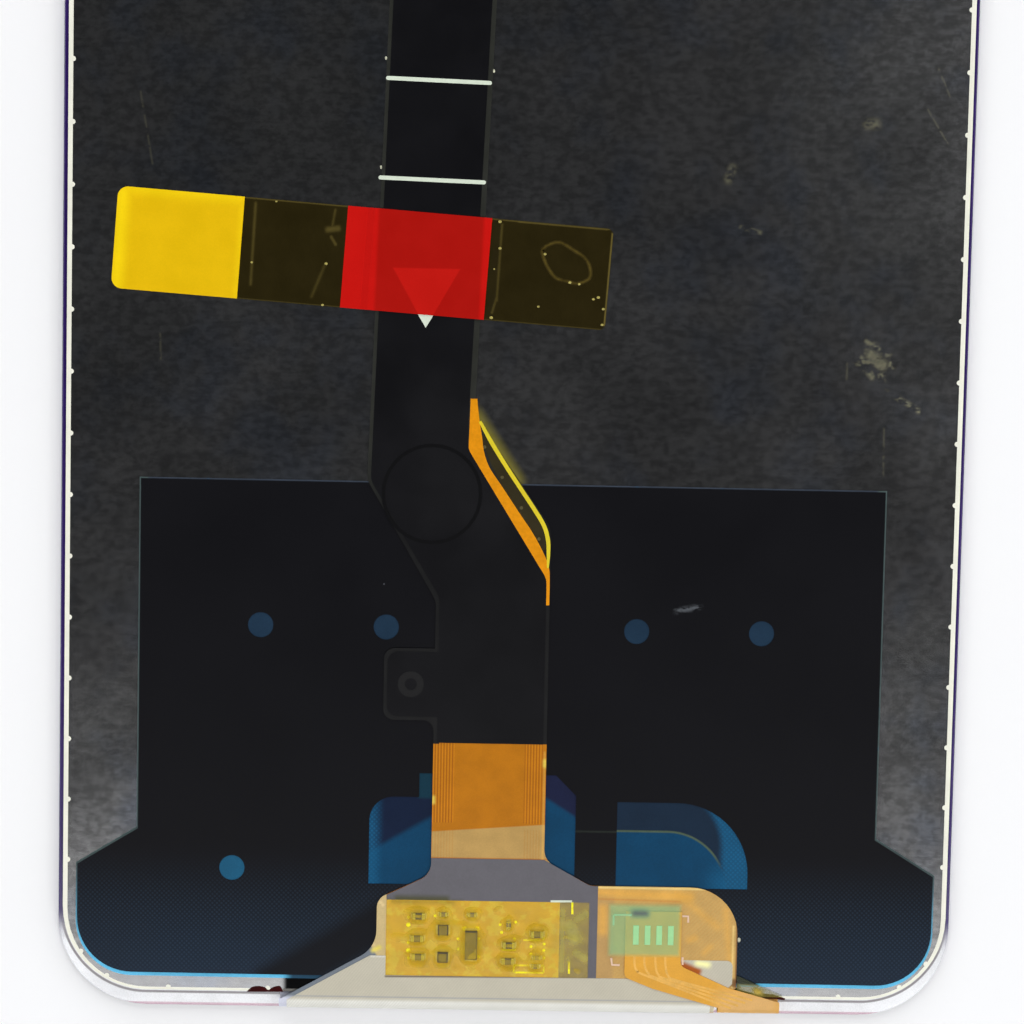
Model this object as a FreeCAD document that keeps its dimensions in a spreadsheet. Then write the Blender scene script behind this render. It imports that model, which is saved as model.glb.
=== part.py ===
import FreeCAD, Part
import math
import os
import re

import Sketcher

# Phone screen module, lying face down: cover glass at the bottom, steel back plate on top.
# X runs across the phone, Y towards its top edge, Z from the front face to the back.
# The origin is the middle of the cover glass, on its front face.

DIMENSIONS = (
    # Cover glass
    ("glass_width", 75.0, "cover glass, across"),
    ("glass_length", 165.4, "cover glass, along"),
    ("glass_thick", 0.70, "cover glass"),
    ("glass_corner", 7.5, "radius of its corners"),
    ("glass_bevel", 0.12, "ground edge on both faces"),
    # Liquid crystal panel
    ("adhesive_thick", 0.15, "clear adhesive behind the cover glass"),
    ("polariser_thick", 0.12, "each polariser film"),
    ("filter_glass_thick", 0.20, "colour filter glass"),
    ("tft_glass_thick", 0.20, "transistor glass"),
    ("panel_side_margin", 0.55, "frame side to panel side"),
    ("panel_top_margin", 0.50, "frame top to panel top"),
    ("ledge_margin", 0.10, "frame bottom to the edge of the contact ledge"),
    ("ledge_depth", 3.10, "contact ledge beyond the colour filter glass"),
    ("polariser_inset", 0.30, "panel edge to polariser and adhesive"),
    ("driver_length", 24.0, "driver chip, across the phone"),
    ("driver_width", 1.0, "driver chip"),
    ("driver_thick", 0.22, "driver chip"),
    ("driver_setback", 1.90, "ledge edge to the middle of the driver chip"),
    # Moulded frame and back plate
    ("frame_side_margin", 0.65, "glass side to frame side"),
    ("frame_chin_margin", 1.90, "glass bottom to the line that rises are taken from"),
    ("frame_foot", 0.12, "frame, below that line"),
    ("frame_crown_margin", 1.40, "glass top to frame top"),
    ("frame_corner", 7.0, "outer corners of the frame"),
    ("frame_wall", 1.30, "side and top walls"),
    ("frame_lamp_wall", 2.30, "bottom wall, behind the lamps"),
    ("lamp_bay_corner", 4.5, "lower corners of the frame's cavity"),
    ("plate_lip", 0.38, "frame rim left beside the plate"),
    ("plate_end_lip", 0.22, "frame rim left at the plate's ends"),
    ("plate_thick", 0.15, "steel back plate"),
    ("key_radius", 0.21, "half-round keys of the frame in the plate's edge"),
    ("key_pitch", 5.06, "keys along the sides"),
    ("key_first_rise", 11.0, "frame bottom to the lowest side key"),
    ("key_last_drop", 11.0, "frame top to the highest place for a side key"),
    ("key_offset", 0.25, "right keys up and left keys down"),
    ("corner_key_angle", 34.0, "first corner key, in degrees from the side"),
    ("corner_key_step", 26.0, "second corner key, in degrees on from the first"),
    ("end_key_reach", 28.03, "outermost key of the bottom and top edges, from the middle"),
    ("end_key_pitch", 8.28, "keys along the bottom and top edges"),
    # Backlight
    ("film_play", 0.02, "free height over the film stack"),
    ("film_side_gap", 0.15, "cavity wall to the films"),
    ("prism_film_thick", 0.065, "each prism film"),
    ("diffuser_film_thick", 0.055, "diffuser film"),
    ("guide_thick", 0.43, "light guide"),
    ("reflector_film_thick", 0.065, "reflector film"),
    ("film_low_corner", 1.4, "lower corners of prism and diffuser films"),
    ("film_strip_gap", 0.10, "lamp strip to the films"),
    ("rim_tape_thick", 0.06, "black tape between panel and frame"),
    ("rim_tape_inset", 0.30, "frame edge to tape edge"),
    ("rim_tape_width", 2.0, "frame edge to the tape's opening"),
    ("rim_tape_lamp_width", 5.6, "the same over the lamps"),
    ("rim_tape_corner", 4.0, "corners of the tape's opening"),
    ("strip_thick", 0.08, "printed strip that carries the lamps, and its tail"),
    ("strip_width", 2.80, "lamp strip"),
    ("strip_end_gap", 0.25, "its ends to the rounded corners of the frame's cavity"),
    ("strip_wall_gap", 0.10, "cavity wall to the lamp strip"),
    ("lamp_count", 10, "lamps"),
    ("lamp_end_margin", 1.6, "end of the lamp strip to the first lamp"),
    ("lamp_length", 3.0, "each lamp, across the phone"),
    ("lamp_depth", 1.0, "each lamp, along the phone"),
    ("lamp_wall_gap", 0.15, "cavity wall to the lamps"),
    ("lamp_guide_gap", 0.05, "lamps to the light guide"),
    # Films on the back plate
    ("liner_thick", 0.05, "blue film"),
    ("liner_border", 0.12, "blue film left round the black film"),
    ("liner_foot", 0.30, "the same along the bottom edge"),
    ("mask_thick", 0.05, "black film"),
    ("mask_side_inset", 1.20, "frame side to the wide part of the black film"),
    ("mask_bottom_inset", 1.38, "frame bottom to the black film"),
    ("mask_right_drop", 0.26, "black film's lower right corner, below its lower left one"),
    ("mask_height", 41.2, "black film, along the phone"),
    ("mask_narrow_width", 61.34, "narrow part of the black film"),
    ("mask_step_low", 9.05, "black film's bottom to the end of its wide part"),
    ("mask_step_high", 12.10, "black film's bottom to the start of its narrow part"),
    ("mask_corner", 4.6, "lower corners of the black film"),
    ("spot_diameter", 2.1, "round holes of the black film"),
    ("spot_pitch", 10.36, "row of five holes"),
    ("spot_rise", 30.65, "frame bottom to the row of holes"),
    ("low_spot_offset", 22.85, "single hole left of the middle"),
    ("low_spot_rise", 10.3, "frame bottom to the single hole"),
    ("window_low", 9.13, "frame bottom to the foot of both windows"),
    ("wide_window_left", 11.5, "window under the flex, left of the middle"),
    ("wide_window_right", 5.65, "the same, right of the middle"),
    ("wide_window_shoulder", 7.4, "left end of its upper part"),
    ("wide_window_step", 16.5, "frame bottom to the foot of its upper part"),
    ("wide_window_high", 18.5, "frame bottom to its top"),
    ("wide_window_bevel", 1.7, "cut corner at its upper right"),
    ("wide_window_corner", 2.0, "its upper left corner"),
    ("side_window_left", 9.1, "window right of the flex"),
    ("side_window_right", 20.12, "the same, outer side"),
    ("side_window_high", 16.35, "frame bottom to its top"),
    ("side_window_corner", 6.0, "its upper right corner"),
    # Main flex: heights named rise are taken from the frame's bottom edge
    ("flex_thick", 0.12, "main flex"),
    ("fold_reach", 0.77, "frame bottom to the line where the flex starts to fold"),
    ("fold_left", 18.8, "fold, left of the middle"),
    ("fold_right", 17.6, "fold, right of the middle"),
    ("bond_depth", 1.0, "flex bonded on the contact ledge"),
    ("branch_side", 19.4, "right branch, outer side"),
    ("branch_foot_rise", 0.80, "right branch, lower end"),
    ("branch_top_rise", 9.25, "right branch, top edge"),
    ("branch_corner", 4.0, "right branch, upper corner"),
    ("stem_centre", -1.6, "stem, from the middle of the phone"),
    ("stem_width", 9.4, "stem"),
    ("flare_reach", 3.9, "flare from stem to branch, across"),
    ("flare_height", 2.1, "the same, along"),
    ("stem_right_rise", 39.1, "top of the stem's right side"),
    ("stem_left_rise", 32.9, "top of the stem's left side"),
    ("cable_centre", -7.75, "cable at its lower end"),
    ("cable_width", 8.75, "cable"),
    ("cable_right_rise", 48.3, "lower end of the cable's right side"),
    ("cable_left_rise", 42.8, "lower end of the cable's left side"),
    ("cable_drift", 1.90, "how far the cable leans to the right at its upper end"),
    ("cable_top_rise", 104.5, "upper end of the cable"),
    ("head_width", 13.0, "head that carries the connector"),
    ("head_length", 6.4, "the same, along"),
    ("head_shoulder", 1.2, "slope from cable to head"),
    ("head_corner", 0.8, "corners of the head"),
    ("ear_reach", 4.2, "ear beyond the stem's left side"),
    ("ear_low_rise", 22.95, "ear, lower side"),
    ("ear_height", 6.0, "ear, along"),
    ("ear_corner", 0.9, "ear"),
    ("ear_ring_diameter", 2.15, "ring on the ear"),
    ("ear_ring_bore", 1.0, "ring on the ear"),
    ("ear_ring_thick", 0.02, "ring on the ear"),
    ("ear_ring_offset", 1.95, "stem's left side to the ring"),
    ("wing_side", 10.75, "left wing, outer side"),
    ("wing_root_rise", 10.0, "left wing, where it leaves the stem"),
    ("wing_top_rise", 7.9, "left wing, outer top corner"),
    ("wing_foot_rise", 3.75, "left wing, where its side turns to the fold"),
    ("wing_corner", 1.2, "left wing, outer top corner"),
    ("wing_foot_corner", 2.5, "left wing, where its side turns to the fold"),
    ("flex_turn", 1.5, "inner corners of the flex outline"),
    # Layers on the main flex
    ("coverlay_thick", 0.04, "grey shield film, black film and component layer"),
    ("shield_inset", 0.30, "flex edge to the black cable film"),
    ("shield_low_rise", 21.1, "lower edge of the black cable film"),
    ("shield_stem_rise", 34.9, "where its right edge leaves the stem"),
    ("shield_cable_rise", 45.5, "where its right edge joins the cable"),
    ("shield_cable_inset", 0.50, "cable's right side to the black film there"),
    ("grey_top_rise", 11.4, "upper edge of the grey film"),
    ("grey_right", 7.65, "right edge of the grey film"),
    ("grey_left_drop", 1.75, "fall of its edge along the left wing"),
    ("board_left", 9.95, "component area, left of the middle"),
    ("board_right", 4.5, "component area, right of the middle"),
    ("board_low_rise", 1.45, "component area, lower side"),
    ("board_high_rise", 7.85, "component area, upper side"),
    ("bend_tape_inset", 0.34, "flex edge to the tape over the fold"),
    ("bend_tape_return", 0.50, "tape over the fold, under the frame"),
    ("bend_tape_left_inset", 0.65, "flex's sloping left edge to the tape, across the phone"),
    ("bend_tape_left_rise", 3.1, "top of the tape left of the component area"),
    ("bend_tape_window_rise", 3.1, "top of the tape on the right branch"),
    ("bend_tape_window_left", 14.2, "left end of that part"),
    ("bend_tape_turn", 0.5, "its corners"),
    # Components
    ("capacitor_length", 1.0, "chip capacitor"),
    ("capacitor_width", 0.5, "chip capacitor"),
    ("capacitor_height", 0.36, "chip capacitor"),
    ("resistor_length", 0.6, "chip resistor"),
    ("resistor_width", 0.34, "chip resistor"),
    ("resistor_height", 0.22, "chip resistor"),
    ("diode_side", 0.85, "protection diode"),
    ("diode_height", 0.32, "protection diode"),
    ("memory_length", 2.4, "memory chip"),
    ("memory_width", 1.0, "memory chip"),
    ("memory_height", 0.30, "memory chip"),
    ("land_length", 0.34, "solder land at each end of a component"),
    ("land_thick", 0.05, "solder land"),
    ("component_tape_thick", 0.05, "clear tape over the components"),
    ("component_tape_right", 6.95, "its right edge"),
    ("component_tape_headroom", 0.04, "over the tallest component"),
    ("component_tape_flange", 0.45, "flat border of the tape"),
    ("component_tape_corner", 0.4, "corners of the tape"),
    ("component_tape_slope", 40, "sides of its raised middle, in degrees from upright"),
    # Tail of the lamp strip
    ("tail_reach", 0.90, "frame bottom to the line where the tail starts to fold"),
    ("tail_fold_centre", 20.48, "fold of the tail, from the middle"),
    ("tail_fold_width", 5.15, "fold of the tail"),
    ("tail_slot_gap", 0.10, "frame slot round the tail"),
    ("tail_end_centre", 12.35, "soldered end of the tail"),
    ("tail_end_width", 4.7, "soldered end of the tail"),
    ("tail_end_rise", 7.2, "top of the tail"),
    ("tail_root_rise", 2.60, "where the right side of the tail turns"),
    ("tail_heel_rise", 1.60, "where the left side of the tail turns"),
    ("tail_upper_offset", 18.75, "kink of the tail's upper edge, from the middle"),
    ("tail_upper_rise", 0.80, "the same, along"),
    ("tail_shoulder_rise", -0.38, "outer end of the tail's upper edge"),
    ("tail_lower_offset", 12.4, "kink of the tail's lower edge, from the middle"),
    ("tail_lower_rise", 0.65, "the same, along"),
    ("tail_turn", 0.6, "corners of the tail"),
    ("joint_count", 4, "solder joints of the tail"),
    ("joint_pitch", 0.97, "solder joints of the tail"),
    ("joint_width", 0.45, "solder joint"),
    ("joint_length", 1.60, "solder joint"),
    ("joint_rise", 4.4, "lower end of the solder joints"),
    ("joint_crown", 0.06, "solder above the tail"),
    ("patch_thick", 0.04, "green tape over the solder joints"),
    ("patch_left", 8.5, "green tape, left side"),
    ("patch_right", 14.7, "green tape, right side"),
    ("patch_low_rise", 3.35, "green tape, lower side"),
    ("patch_high_rise", 7.9, "green tape, upper side"),
    ("tail_pad_right", 23.3, "amber tape under the tail, outer corner"),
    ("tail_pad_left_rise", 1.85, "its top beside the branch"),
    ("tail_pad_right_rise", 0.15, "its top at the outer corner"),
    ("tail_pad_foot_rise", 0.05, "its lower edge"),
    ("tail_pad_gap", 0.05, "branch to the amber tape"),
    # Hold-down strip across the cable
    ("strap_thick", 0.05, "amber tape"),
    ("strap_length", 40.5, "amber tape"),
    ("strap_width", 8.3, "amber tape"),
    ("strap_corner", 0.85, "left end of the tape"),
    ("strap_end_corner", 0.55, "right end of the tape"),
    ("strap_centre", -12.8, "its middle, from the middle of the phone"),
    ("strap_rise", 60.92, "its middle, from the frame's bottom"),
    ("strap_angle", -3.75, "its turn in degrees"),
    ("bridge_gap", 0.50, "cable side to the foot of the tape's rise"),
    ("bridge_ramp", 0.60, "length of the tape's rise beside the cable"),
    ("tab_length", 10.3, "yellow film on the left end"),
    ("tab_thick", 0.04, "yellow film"),
    ("marker_left", 2.75, "red film beyond the cable's left side"),
    ("marker_right", 0.30, "red film beyond the cable's right side"),
    ("marker_thick", 0.04, "red film"),
    # Adhesive and connector
    ("cable_tape_inset", 0.60, "cable side to the adhesive under it"),
    ("cable_tape_gap", 0.50, "black film to that adhesive, and adhesive to head"),
    ("stiffener_inset", 0.15, "head edge to the steel stiffener"),
    ("connector_length", 10.6, "board connector, across"),
    ("connector_width", 2.4, "board connector, along"),
    ("connector_height", 0.70, "board connector"),
    ("connector_floor", 0.20, "floor of the connector"),
    ("connector_wall", 0.28, "walls of the connector"),
    ("connector_rib_width", 0.50, "middle rib of the connector"),
    ("connector_rib_inset", 0.55, "ends of the rib to the walls"),
    ("contact_count", 20, "contacts in each row"),
    ("contact_pitch", 0.40, "contacts"),
    ("contact_width", 0.18, "contacts"),
    ("contact_height", 0.34, "contacts above the connector's floor"),
    ("contact_foot", 0.35, "solder foot outside the connector"),
    ("contact_foot_thick", 0.08, "solder foot"),
)

# Components on the flex, as places from the lower left corner of the component area;
# a turned one lies along the phone.
CAPACITOR_PLACES = (
    (2.60, 3.20, False),
    (2.70, 1.65, False),
    (2.70, 5.10, False),
    (10.25, 2.75, False),
    (10.20, 1.40, False),
    (12.60, 3.70, False),
)
RESISTOR_PLACES = (
    (10.20, 4.45, True),
    (12.60, 1.70, False),
    (4.75, 5.25, False),
    (7.15, 5.25, False),
    (12.50, 0.98, False),
)
DIODE_PLACES = ((4.75, 3.95), (4.75, 1.65))
MEMORY_PLACES = ((7.10, 2.70),)

NAMES = {name for name, size, note in DIMENSIONS}

doc = FreeCAD.newDocument("phone_screen_module")
sizes = doc.addObject("Spreadsheet::Sheet", "Sizes")
for row, (name, size, note) in enumerate(DIMENSIONS, start=1):
    sizes.set(f"A{row}", note)
    sizes.set(f"B{row}", str(size))
    sizes.setAlias(f"B{row}", name)
doc.recompute()


def linked(expression):
    """The expression with each dimension read from the sheet."""
    return re.sub(
        r"[a-z_]+",
        lambda word: f"Sizes.{word.group()}" if word.group() in NAMES else word.group(),
        expression,
    )


def value(expression):
    """The present value of an expression in the dimensions."""
    return float(sizes.evalExpression(linked(expression)))


def bind(feature, prop, expression):
    """Tie a property of a feature to an expression in the dimensions."""
    feature.setExpression(prop, linked(expression))


def minus(expression):
    """The expression with its sign changed."""
    return f"-({expression})"


# Places that several pieces share
FRAME_SIDE = "(glass_width / 2 - frame_side_margin)"
FRAME_BOTTOM = "(frame_chin_margin - glass_length / 2)"
FRAME_TOP = "(glass_length / 2 - frame_crown_margin)"
PANEL_SIDE = f"({FRAME_SIDE} - panel_side_margin)"
PANEL_TOP = f"({FRAME_TOP} - panel_top_margin)"
LEDGE_EDGE = f"({FRAME_BOTTOM} + ledge_margin)"
FILTER_EDGE = f"({LEDGE_EDGE} + ledge_depth)"
CAVITY_SIDE = f"({FRAME_SIDE} - frame_wall)"
CAVITY_TOP = f"({FRAME_TOP} - frame_wall)"
CAVITY_BOTTOM = f"({FRAME_BOTTOM} + frame_lamp_wall)"
CAVITY_CORNER = "(frame_corner - frame_wall)"
PLATE_SIDE = f"({FRAME_SIDE} - plate_lip)"
PLATE_TOP = f"({FRAME_TOP} - plate_end_lip)"
FRAME_FOOT = f"({FRAME_BOTTOM} - frame_foot)"
PLATE_BOTTOM = f"({FRAME_FOOT} + plate_end_lip)"
PLATE_CORNER = "(frame_corner - plate_lip)"
STRIP_BOTTOM = f"({CAVITY_BOTTOM} + strip_wall_gap)"
STRIP_TOP = f"({STRIP_BOTTOM} + strip_width)"
STRIP_SIDE = f"({CAVITY_SIDE} - lamp_bay_corner - strip_end_gap)"
LAMP_REACH = f"({STRIP_SIDE} - lamp_end_margin - lamp_length / 2)"
LAMP_BOTTOM = f"({CAVITY_BOTTOM} + lamp_wall_gap)"
GUIDE_BOTTOM = f"({LAMP_BOTTOM} + lamp_depth + lamp_guide_gap)"
FOLD_LINE = f"({FRAME_BOTTOM} - fold_reach)"
# The flex's sloping left edge, at the height of the tape's top corner
WING_SLOPE = "((fold_left - wing_side) / (wing_foot_rise + fold_reach))"
WING_LINE = f"(wing_side + (wing_foot_rise - bend_tape_left_rise) * {WING_SLOPE})"
TAIL_FOLD_LINE = f"({FRAME_BOTTOM} - tail_reach)"
TAIL_LEFT = "(tail_fold_centre - tail_fold_width / 2)"
TAIL_RIGHT = "(tail_fold_centre + tail_fold_width / 2)"
STEM_LEFT = "(stem_centre - stem_width / 2)"
STEM_RIGHT = "(stem_centre + stem_width / 2)"
CABLE_LEFT = "(cable_centre - cable_width / 2)"
CABLE_RIGHT = "(cable_centre + cable_width / 2)"
HEAD_CENTRE = "(cable_centre + cable_drift)"
HEAD_RISE = "(cable_top_rise + head_shoulder)"
STRAP_DRIFT = "(cable_drift * (strap_rise - cable_left_rise) / (cable_top_rise - cable_left_rise))"
STRAP_CABLE = f"(cable_centre + {STRAP_DRIFT} - strap_centre)"

# Heights of the layers, from the front face of the cover glass
Z_ADHESIVE = "(glass_thick)"
Z_FRONT_POLARISER = f"({Z_ADHESIVE} + adhesive_thick)"
Z_FILTER = f"({Z_FRONT_POLARISER} + polariser_thick)"
Z_TFT = f"({Z_FILTER} + filter_glass_thick)"
Z_REAR_POLARISER = f"({Z_TFT} + tft_glass_thick)"
Z_RIM_TAPE = f"({Z_REAR_POLARISER} + polariser_thick)"
Z_FRAME = f"({Z_RIM_TAPE} + rim_tape_thick)"
Z_UPPER_PRISM = f"({Z_FRAME} + film_play)"
Z_LOWER_PRISM = f"({Z_UPPER_PRISM} + prism_film_thick)"
Z_DIFFUSER = f"({Z_LOWER_PRISM} + prism_film_thick)"
Z_GUIDE = f"({Z_DIFFUSER} + diffuser_film_thick)"
Z_REFLECTOR = f"({Z_GUIDE} + guide_thick)"
Z_PLATE = f"({Z_REFLECTOR} + reflector_film_thick)"
Z_BACK = f"({Z_PLATE} + plate_thick)"
Z_MASK = f"({Z_BACK} + liner_thick)"
Z_FLEX = f"({Z_MASK} + mask_thick)"
Z_COVERLAY = f"({Z_FLEX} + flex_thick)"
Z_TAIL = f"({Z_COVERLAY} + coverlay_thick)"
Z_TAIL_TOP = f"({Z_TAIL} + strip_thick)"
Z_PATCH = f"({Z_TAIL_TOP} + joint_crown)"


def rise(height):
    """A place along the phone, given as its height over the frame's bottom edge."""
    return f"({FRAME_BOTTOM} + {height})"


def rectangle(left, bottom, right, top, low_corner=None, high_corner=None):
    """Corners of an upright rectangle, the lower and upper pairs rounded if a radius is given."""
    low = (low_corner,) if low_corner else ()
    high = (high_corner,) if high_corner else ()
    return [
        (left, bottom) + low,
        (right, bottom) + low,
        (right, top) + high,
        (left, top) + high,
    ]


def draw_outline(sketch, corners):
    """Draw a closed outline of straight runs and tangent corner arcs.

    Each corner is (across, along) or (across, along, radius), all expressions. The corner
    points are dimensioned from the origin, and a rounded corner keeps its point as construction.
    """
    points = [FreeCAD.Vector(value(corner[0]), value(corner[1]), 0) for corner in corners]
    radii = [value(corner[2]) if len(corner) > 2 else 0.0 for corner in corners]
    count = len(corners)
    starts, ends, arcs = [], [], {}
    for index, (point, radius) in enumerate(zip(points, radii)):
        if not radius:
            starts.append(point)
            ends.append(point)
            continue
        back = (points[index - 1] - point).normalize()
        ahead = (points[(index + 1) % count] - point).normalize()
        half = back.getAngle(ahead) / 2
        run = radius / math.tan(half)
        middle = point + (back + ahead).normalize() * (radius / math.sin(half) - radius)
        ends.append(point + back * run)
        starts.append(point + ahead * run)
        arcs[index] = Part.Arc(ends[index], middle, starts[index])
    first = sketch.GeometryCount
    lines = [Part.LineSegment(starts[i], ends[(i + 1) % count]) for i in range(count)]
    sketch.addGeometry(lines, False)
    constraints, ties = [], []
    for index, corner in enumerate(corners):
        before = first + (index - 1) % count
        after = first + index
        if index in arcs:
            arc = sketch.addGeometry(arcs[index], False)
            mark = sketch.addGeometry(Part.Point(points[index]), True)
            turned = sketch.getPoint(arc, 1).distanceToPoint(ends[index]) > 1e-6
            constraints += [
                Sketcher.Constraint("Tangent", before, 2, arc, 2 if turned else 1),
                Sketcher.Constraint("Tangent", arc, 1 if turned else 2, after, 1),
                Sketcher.Constraint("PointOnObject", mark, 1, before),
                Sketcher.Constraint("PointOnObject", mark, 1, after),
                Sketcher.Constraint("Radius", arc, radii[index]),
            ]
            ties.append((len(constraints) - 1, corner[2]))
        else:
            mark = after
            constraints.append(Sketcher.Constraint("Coincident", before, 2, after, 1))
        constraints.append(Sketcher.Constraint("DistanceX", -1, 1, mark, 1, points[index].x))
        ties.append((len(constraints) - 1, corner[0]))
        constraints.append(Sketcher.Constraint("DistanceY", -1, 1, mark, 1, points[index].y))
        ties.append((len(constraints) - 1, corner[1]))
    start = sketch.ConstraintCount
    sketch.addConstraint(constraints)
    for number, expression in ties:
        bind(sketch, f"Constraints[{start + number}]", expression)


def draw_circle(sketch, across, along, diameter):
    """Draw a circle at a place given by expressions."""
    centre = FreeCAD.Vector(value(across), value(along), 0)
    size = value(diameter)
    circle = sketch.addGeometry(Part.Circle(centre, FreeCAD.Vector(0, 0, 1), size / 2), False)
    ties = (
        (Sketcher.Constraint("DistanceX", -1, 1, circle, 3, centre.x), across),
        (Sketcher.Constraint("DistanceY", -1, 1, circle, 3, centre.y), along),
        (Sketcher.Constraint("Diameter", circle, size), diameter),
    )
    for constraint, expression in ties:
        number = sketch.addConstraint(constraint)
        bind(sketch, f"Constraints[{number}]", expression)


def new_body(label):
    """An empty body with the piece's name."""
    body = doc.addObject("PartDesign::Body", label)
    body.Label = label
    return body


def new_sketch(body, name, level, plane="XY_Plane"):
    """A sketch on one of the body's planes, moved out along the plane's normal."""
    sketch = body.newObject("Sketcher::SketchObject", f"{body.Name}_{name}")
    origin = next(item for item in body.Origin.OriginFeatures if item.Role == plane)
    sketch.AttachmentSupport = (origin, [""])
    sketch.MapMode = "FlatFace"
    bind(sketch, "AttachmentOffset.Base.z", level)
    return sketch


def add_pad(body, name, sketch, length):
    """Pad a sketch away from its plane."""
    pad = body.newObject("PartDesign::Pad", f"{body.Name}_{name}_pad")
    pad.Profile = sketch
    bind(pad, "Length", length)
    sketch.Visibility = False
    doc.recompute()
    return pad


def add_pocket(body, name, sketch, length):
    """Cut a sketch's outline out of the body, from the sketch towards the back of the phone."""
    before = body.Shape.Volume
    pocket = body.newObject("PartDesign::Pocket", f"{body.Name}_{name}_pocket")
    pocket.Profile = sketch
    pocket.Reversed = True
    bind(pocket, "Length", length)
    sketch.Visibility = False
    doc.recompute()
    if not body.Shape.Volume < before - 1e-6:
        raise RuntimeError(f"{pocket.Name} cuts nothing")
    return pocket


def pad_outline(body, name, corners, level, length):
    """Pad an outline drawn across the phone at a height."""
    sketch = new_sketch(body, name, level)
    draw_outline(sketch, corners)
    return add_pad(body, name, sketch, length)


def cut_outline(body, name, corners, level, length):
    """Cut an outline drawn across the phone, from one height upwards."""
    sketch = new_sketch(body, name, level)
    draw_outline(sketch, corners)
    return add_pocket(body, name, sketch, length)


def layer(label, corners, level, thickness):
    """A flat layer of one outline."""
    body = new_body(label)
    pad_outline(body, "outline", corners, level, thickness)
    return body


def flat_faces(shape):
    """Names of the faces that look to the front or the back."""
    return [
        f"Face{number}"
        for number, face in enumerate(shape.Faces, start=1)
        if abs(face.normalAt(0, 0).z) > 0.999
    ]


def box(name, left, bottom, level, length, width, height):
    """A block with one corner at a place, all sizes bound."""
    block = doc.addObject("Part::Box", name)
    for prop, expression in (("Length", length), ("Width", width), ("Height", height)):
        bind(block, prop, expression)
    for axis, expression in zip("xyz", (left, bottom, level)):
        bind(block, f"Placement.Base.{axis}", expression)
    return block


def group(label, members):
    """Separate solids that share one name."""
    compound = doc.addObject("Part::Compound", label)
    compound.Label = label
    compound.Links = members
    return compound


def build_cover_glass():
    """Cover glass with ground edges; the module lies on its front face."""
    side, end = "glass_width / 2", "glass_length / 2"
    corners = rectangle(minus(side), minus(end), side, end, "glass_corner", "glass_corner")
    body = layer("cover_glass", corners, "0", "glass_thick")
    slab = body.Tip
    bevel = body.newObject("PartDesign::Chamfer", "glass_edge_bevel")
    bevel.Base = (slab, flat_faces(slab.Shape))
    bind(bevel, "Size", "glass_bevel")
    return body


def panel_layer(label, level, thickness, inset, has_ledge):
    """A layer of the panel; those without the ledge stop at the colour filter glass's edge."""
    side = f"({PANEL_SIDE} - {inset})"
    corner = f"(frame_corner - panel_side_margin - {inset})"
    top = f"({PANEL_TOP} - {inset})"
    corners = rectangle(minus(side), LEDGE_EDGE, side, top, corner, corner)
    body = layer(label, corners, level, thickness)
    if not has_ledge:
        clear = f"({side} + ledge_depth)"
        below = f"({LEDGE_EDGE} - ledge_depth)"
        ledge = rectangle(minus(clear), below, clear, f"({FILTER_EDGE} + {inset})")
        cut_outline(body, "ledge", ledge, level, thickness)
    return body


def build_panel():
    """Adhesive, polarisers, the two glasses and the driver chip on the contact ledge."""
    inset = "polariser_inset"
    pieces = [
        panel_layer("optical_adhesive", Z_ADHESIVE, "adhesive_thick", inset, False),
        panel_layer("front_polariser", Z_FRONT_POLARISER, "polariser_thick", inset, False),
        panel_layer("colour_filter_glass", Z_FILTER, "filter_glass_thick", "0", False),
        panel_layer("tft_glass", Z_TFT, "tft_glass_thick", "0", True),
        panel_layer("rear_polariser", Z_REAR_POLARISER, "polariser_thick", inset, False),
    ]
    chip = box(
        "driver_chip",
        "-driver_length / 2",
        f"{LEDGE_EDGE} + driver_setback - driver_width / 2",
        f"{Z_TFT} - driver_thick",
        "driver_length",
        "driver_width",
        "driver_thick",
    )
    return pieces + [chip]


def build_rim_tape():
    """Black double-sided tape between panel and frame, wide over the lamps."""
    side = f"({FRAME_SIDE} - rim_tape_inset)"
    corner = "(frame_corner - rim_tape_inset)"
    bottom = f"({FRAME_BOTTOM} + rim_tape_inset)"
    top = f"({FRAME_TOP} - rim_tape_inset)"
    outer = rectangle(minus(side), bottom, side, top, corner, corner)
    body = layer("rim_tape", outer, Z_RIM_TAPE, "rim_tape_thick")
    inner_side = f"({FRAME_SIDE} - rim_tape_width)"
    opening = rectangle(
        minus(inner_side),
        rise("rim_tape_lamp_width"),
        inner_side,
        f"({FRAME_TOP} - rim_tape_width)",
        "rim_tape_corner",
        "rim_tape_corner",
    )
    cut_outline(body, "opening", opening, Z_RIM_TAPE, "rim_tape_thick")
    return body


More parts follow.
